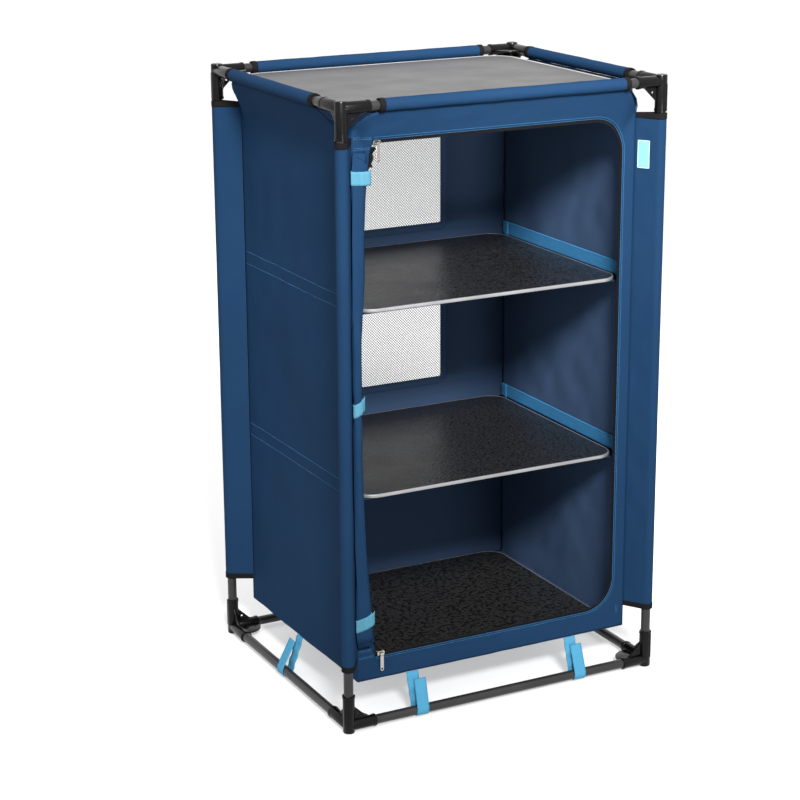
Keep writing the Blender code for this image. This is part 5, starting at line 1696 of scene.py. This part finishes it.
# The door's own half of the zip: it leaves the sliders at both corners and turns along the hinge, with
# its coil towards the opening. Only these two ends show, and the rest is rolled up in the door.
DOOR_TAPE_WIDTH = 0.0056
DOOR_TAPE_OFF = 0.0030
DOOR_TAPE_STEP = 0.0015
DOOR_TAPE_THICKNESS = 0.0007
DOOR_TAPE_WAVE = 0.0007
DOOR_TAPES = {
    "upper": ((-0.2268, 0.9620), (-0.2272, 0.9540), (-0.2282, 0.9460), (-0.2284, 0.9380), (-0.2302, 0.9290)),
    "lower": ((-0.2200, 0.1230), (-0.2240, 0.1280), (-0.2272, 0.1330), (-0.2300, 0.1385)),
}
for end_name, marks in DOOR_TAPES.items():
    middle = evenly([(x, z, 0) for x, z in marks], DOOR_TAPE_STEP)
    last = len(middle) - 1

    def door_tape_place(across, up):
        """The tape's rule: across runs from the roll's side to the coil's."""
        spot = middle[round(up * last)]
        wave = DOOR_TAPE_WAVE * math.sin(up * 14) * (0.4 + across)
        return on_wall((spot.x + DOOR_TAPE_WIDTH * (across - 0.5) + wave, spot.y), DOOR_TAPE_OFF + wave)

    bm = bmesh.new()
    gridded(bm, 3, last, door_tape_place, (DOOR_TAPE_WIDTH, DOOR_TAPE_STEP * last))
    thickened(settled(bm, f"door_zip_tape_{end_name}", zip_tape, "zip_black"), DOOR_TAPE_THICKNESS, 0)
    edge_path = evenly([door_tape_place(1.0, i / last) for i in range(last + 1)], COIL_PITCH / COIL_SIDES)
    coil_path = []
    for i, point in enumerate(edge_path):
        turn = i * 2 * math.pi / COIL_SIDES
        coil_path.append(point + Vector((COIL_REACH * math.cos(turn), COIL_RISE * math.sin(turn), 0)))
    bm = bmesh.new()
    corded(bm, coil_path, Vector((0, 0, 1)), COIL_THREAD)
    settled(bm, f"door_zip_coil_{end_name}", zip_coil, "zip_black")

# Roll straps: three bands of light-blue hook-and-loop, sewn behind the roll. Each goes round its left side
# and its front, and its free end stands off a little at the right.
STRAP_START = -55
STRAP_END = 368
STRAP_STEPS = 80
STRAP_OFF = 0.0010
STRAP_OVERLAP = (285, 25, 0.0013)
STRAP_FLARE = (318, 50, 0.0058)
STRAP_FLARE_POWER = 1.5
roll_strap = cloth_look(
    "roll_strap", (0.070, 0.205, 0.285), (0.053, 0.168, 0.240), 0.0014, 0.62, 0.00030, 0.1, (1.0, 1.8)
)
for level, (z, tilt) in ROLL_STRAPS.items():
    centre, half_width, _ = roll_shape(z)
    path = []
    lap_at, lap_ease, lap = STRAP_OVERLAP
    flare_at, flare_ease, flare = STRAP_FLARE
    for i in range(STRAP_STEPS + 1):
        degrees = STRAP_START + (STRAP_END - STRAP_START) * i / STRAP_STEPS
        over = lap * eased((degrees - lap_at) / lap_ease)
        over += flare * max(0, (degrees - flare_at) / flare_ease) ** STRAP_FLARE_POWER
        point = roll_point(math.radians(degrees), z, 1, STRAP_OFF + over)
        path.append(Vector((*point, z + tilt / 2 * (point.x - centre.x) / half_width)))
    smooth = [(a + 2 * b + c) / 4 for a, b, c in zip(path, path[1:], path[2:])]
    bm = bmesh.new()
    length = banded(bm, smooth, Vector((0, 0, 1)), STRAP_WIDTH)
    hung(
        bm, f"{level}_roll_strap", roll_strap, "light_webbing", f"roll_strap_{level}",
        flat=(STRAP_WIDTH, length), held="folded", wall=0.0011, side=0, rests_on=["rolled_door"],
    )

# Label tab: a blank woven tab of light-blue polyester with a pale cord round its edge, sewn to the front
# right wing near the top.
LABEL_SIZE = (0.020, 0.045)
LABEL_FROM_TIP = 0.006
LABEL_FOOT = 0.886
LABEL_OFF = 0.0010
LABEL_SWELL = 0.0006
LABEL_CURL = 0.0004
LABEL_CORD = 0.0008
LABEL_CORD_OFF = 0.0002
LABEL_CORD_STEPS = 12

label_cloth = cloth_look(
    "label_cloth", (0.150, 0.330, 0.470), (0.120, 0.280, 0.410), 0.0006, 0.6, 0.00010, 0.1
)
label_thread = cloth_look("label_thread", (0.36, 0.46, 0.54), (0.30, 0.40, 0.48), 0.0005, 0.6)
tip = Vector((POST_X + WING_FRONT_TIP[0], -POST_Y - WING_FRONT_TIP[1]))
label_way = (Vector((touch_x, touch_y)) - tip).normalized()
label_facing = Vector((label_way.y, -label_way.x))
if label_facing.y > 0:
    label_facing.negate()


def label_place(across, up):
    """The tab's rule: across runs from the wing's outer edge inwards, and up from the tab's foot."""
    along = LABEL_FROM_TIP + LABEL_SIZE[0] * across
    swell = LABEL_SWELL * across * math.sin(math.pi * up)
    lift = LABEL_OFF + swell + LABEL_CURL * math.sin(3 * across)
    spot = tip + label_way * along + label_facing * lift
    return Vector((*spot, LABEL_FOOT + LABEL_SIZE[1] * up))


bm = bmesh.new()
gridded(bm, 10, 22, label_place, LABEL_SIZE)
hung(
    bm, "blank_label", label_cloth, "light_webbing", "label_tab",
    flat=LABEL_SIZE, held="stretched", wall=0.0006, side=0, rests_on=["front_right_wing"],
)
bm = bmesh.new()
label_out = Vector((*label_facing, 0))
corners = ((0, 0), (1, 0), (1, 1), (0, 1), (0, 0))
rim = []
for (u, v), (next_u, next_v) in zip(corners, corners[1:]):
    for i in range(LABEL_CORD_STEPS):
        share = i / LABEL_CORD_STEPS
        place = label_place(u + (next_u - u) * share, v + (next_v - v) * share)
        rim.append(place + label_out * LABEL_CORD_OFF)
corded(bm, rim + rim[:1], label_out, LABEL_CORD, sides=6, closed=True)
settled(bm, "label_edge", label_thread, "light_webbing")
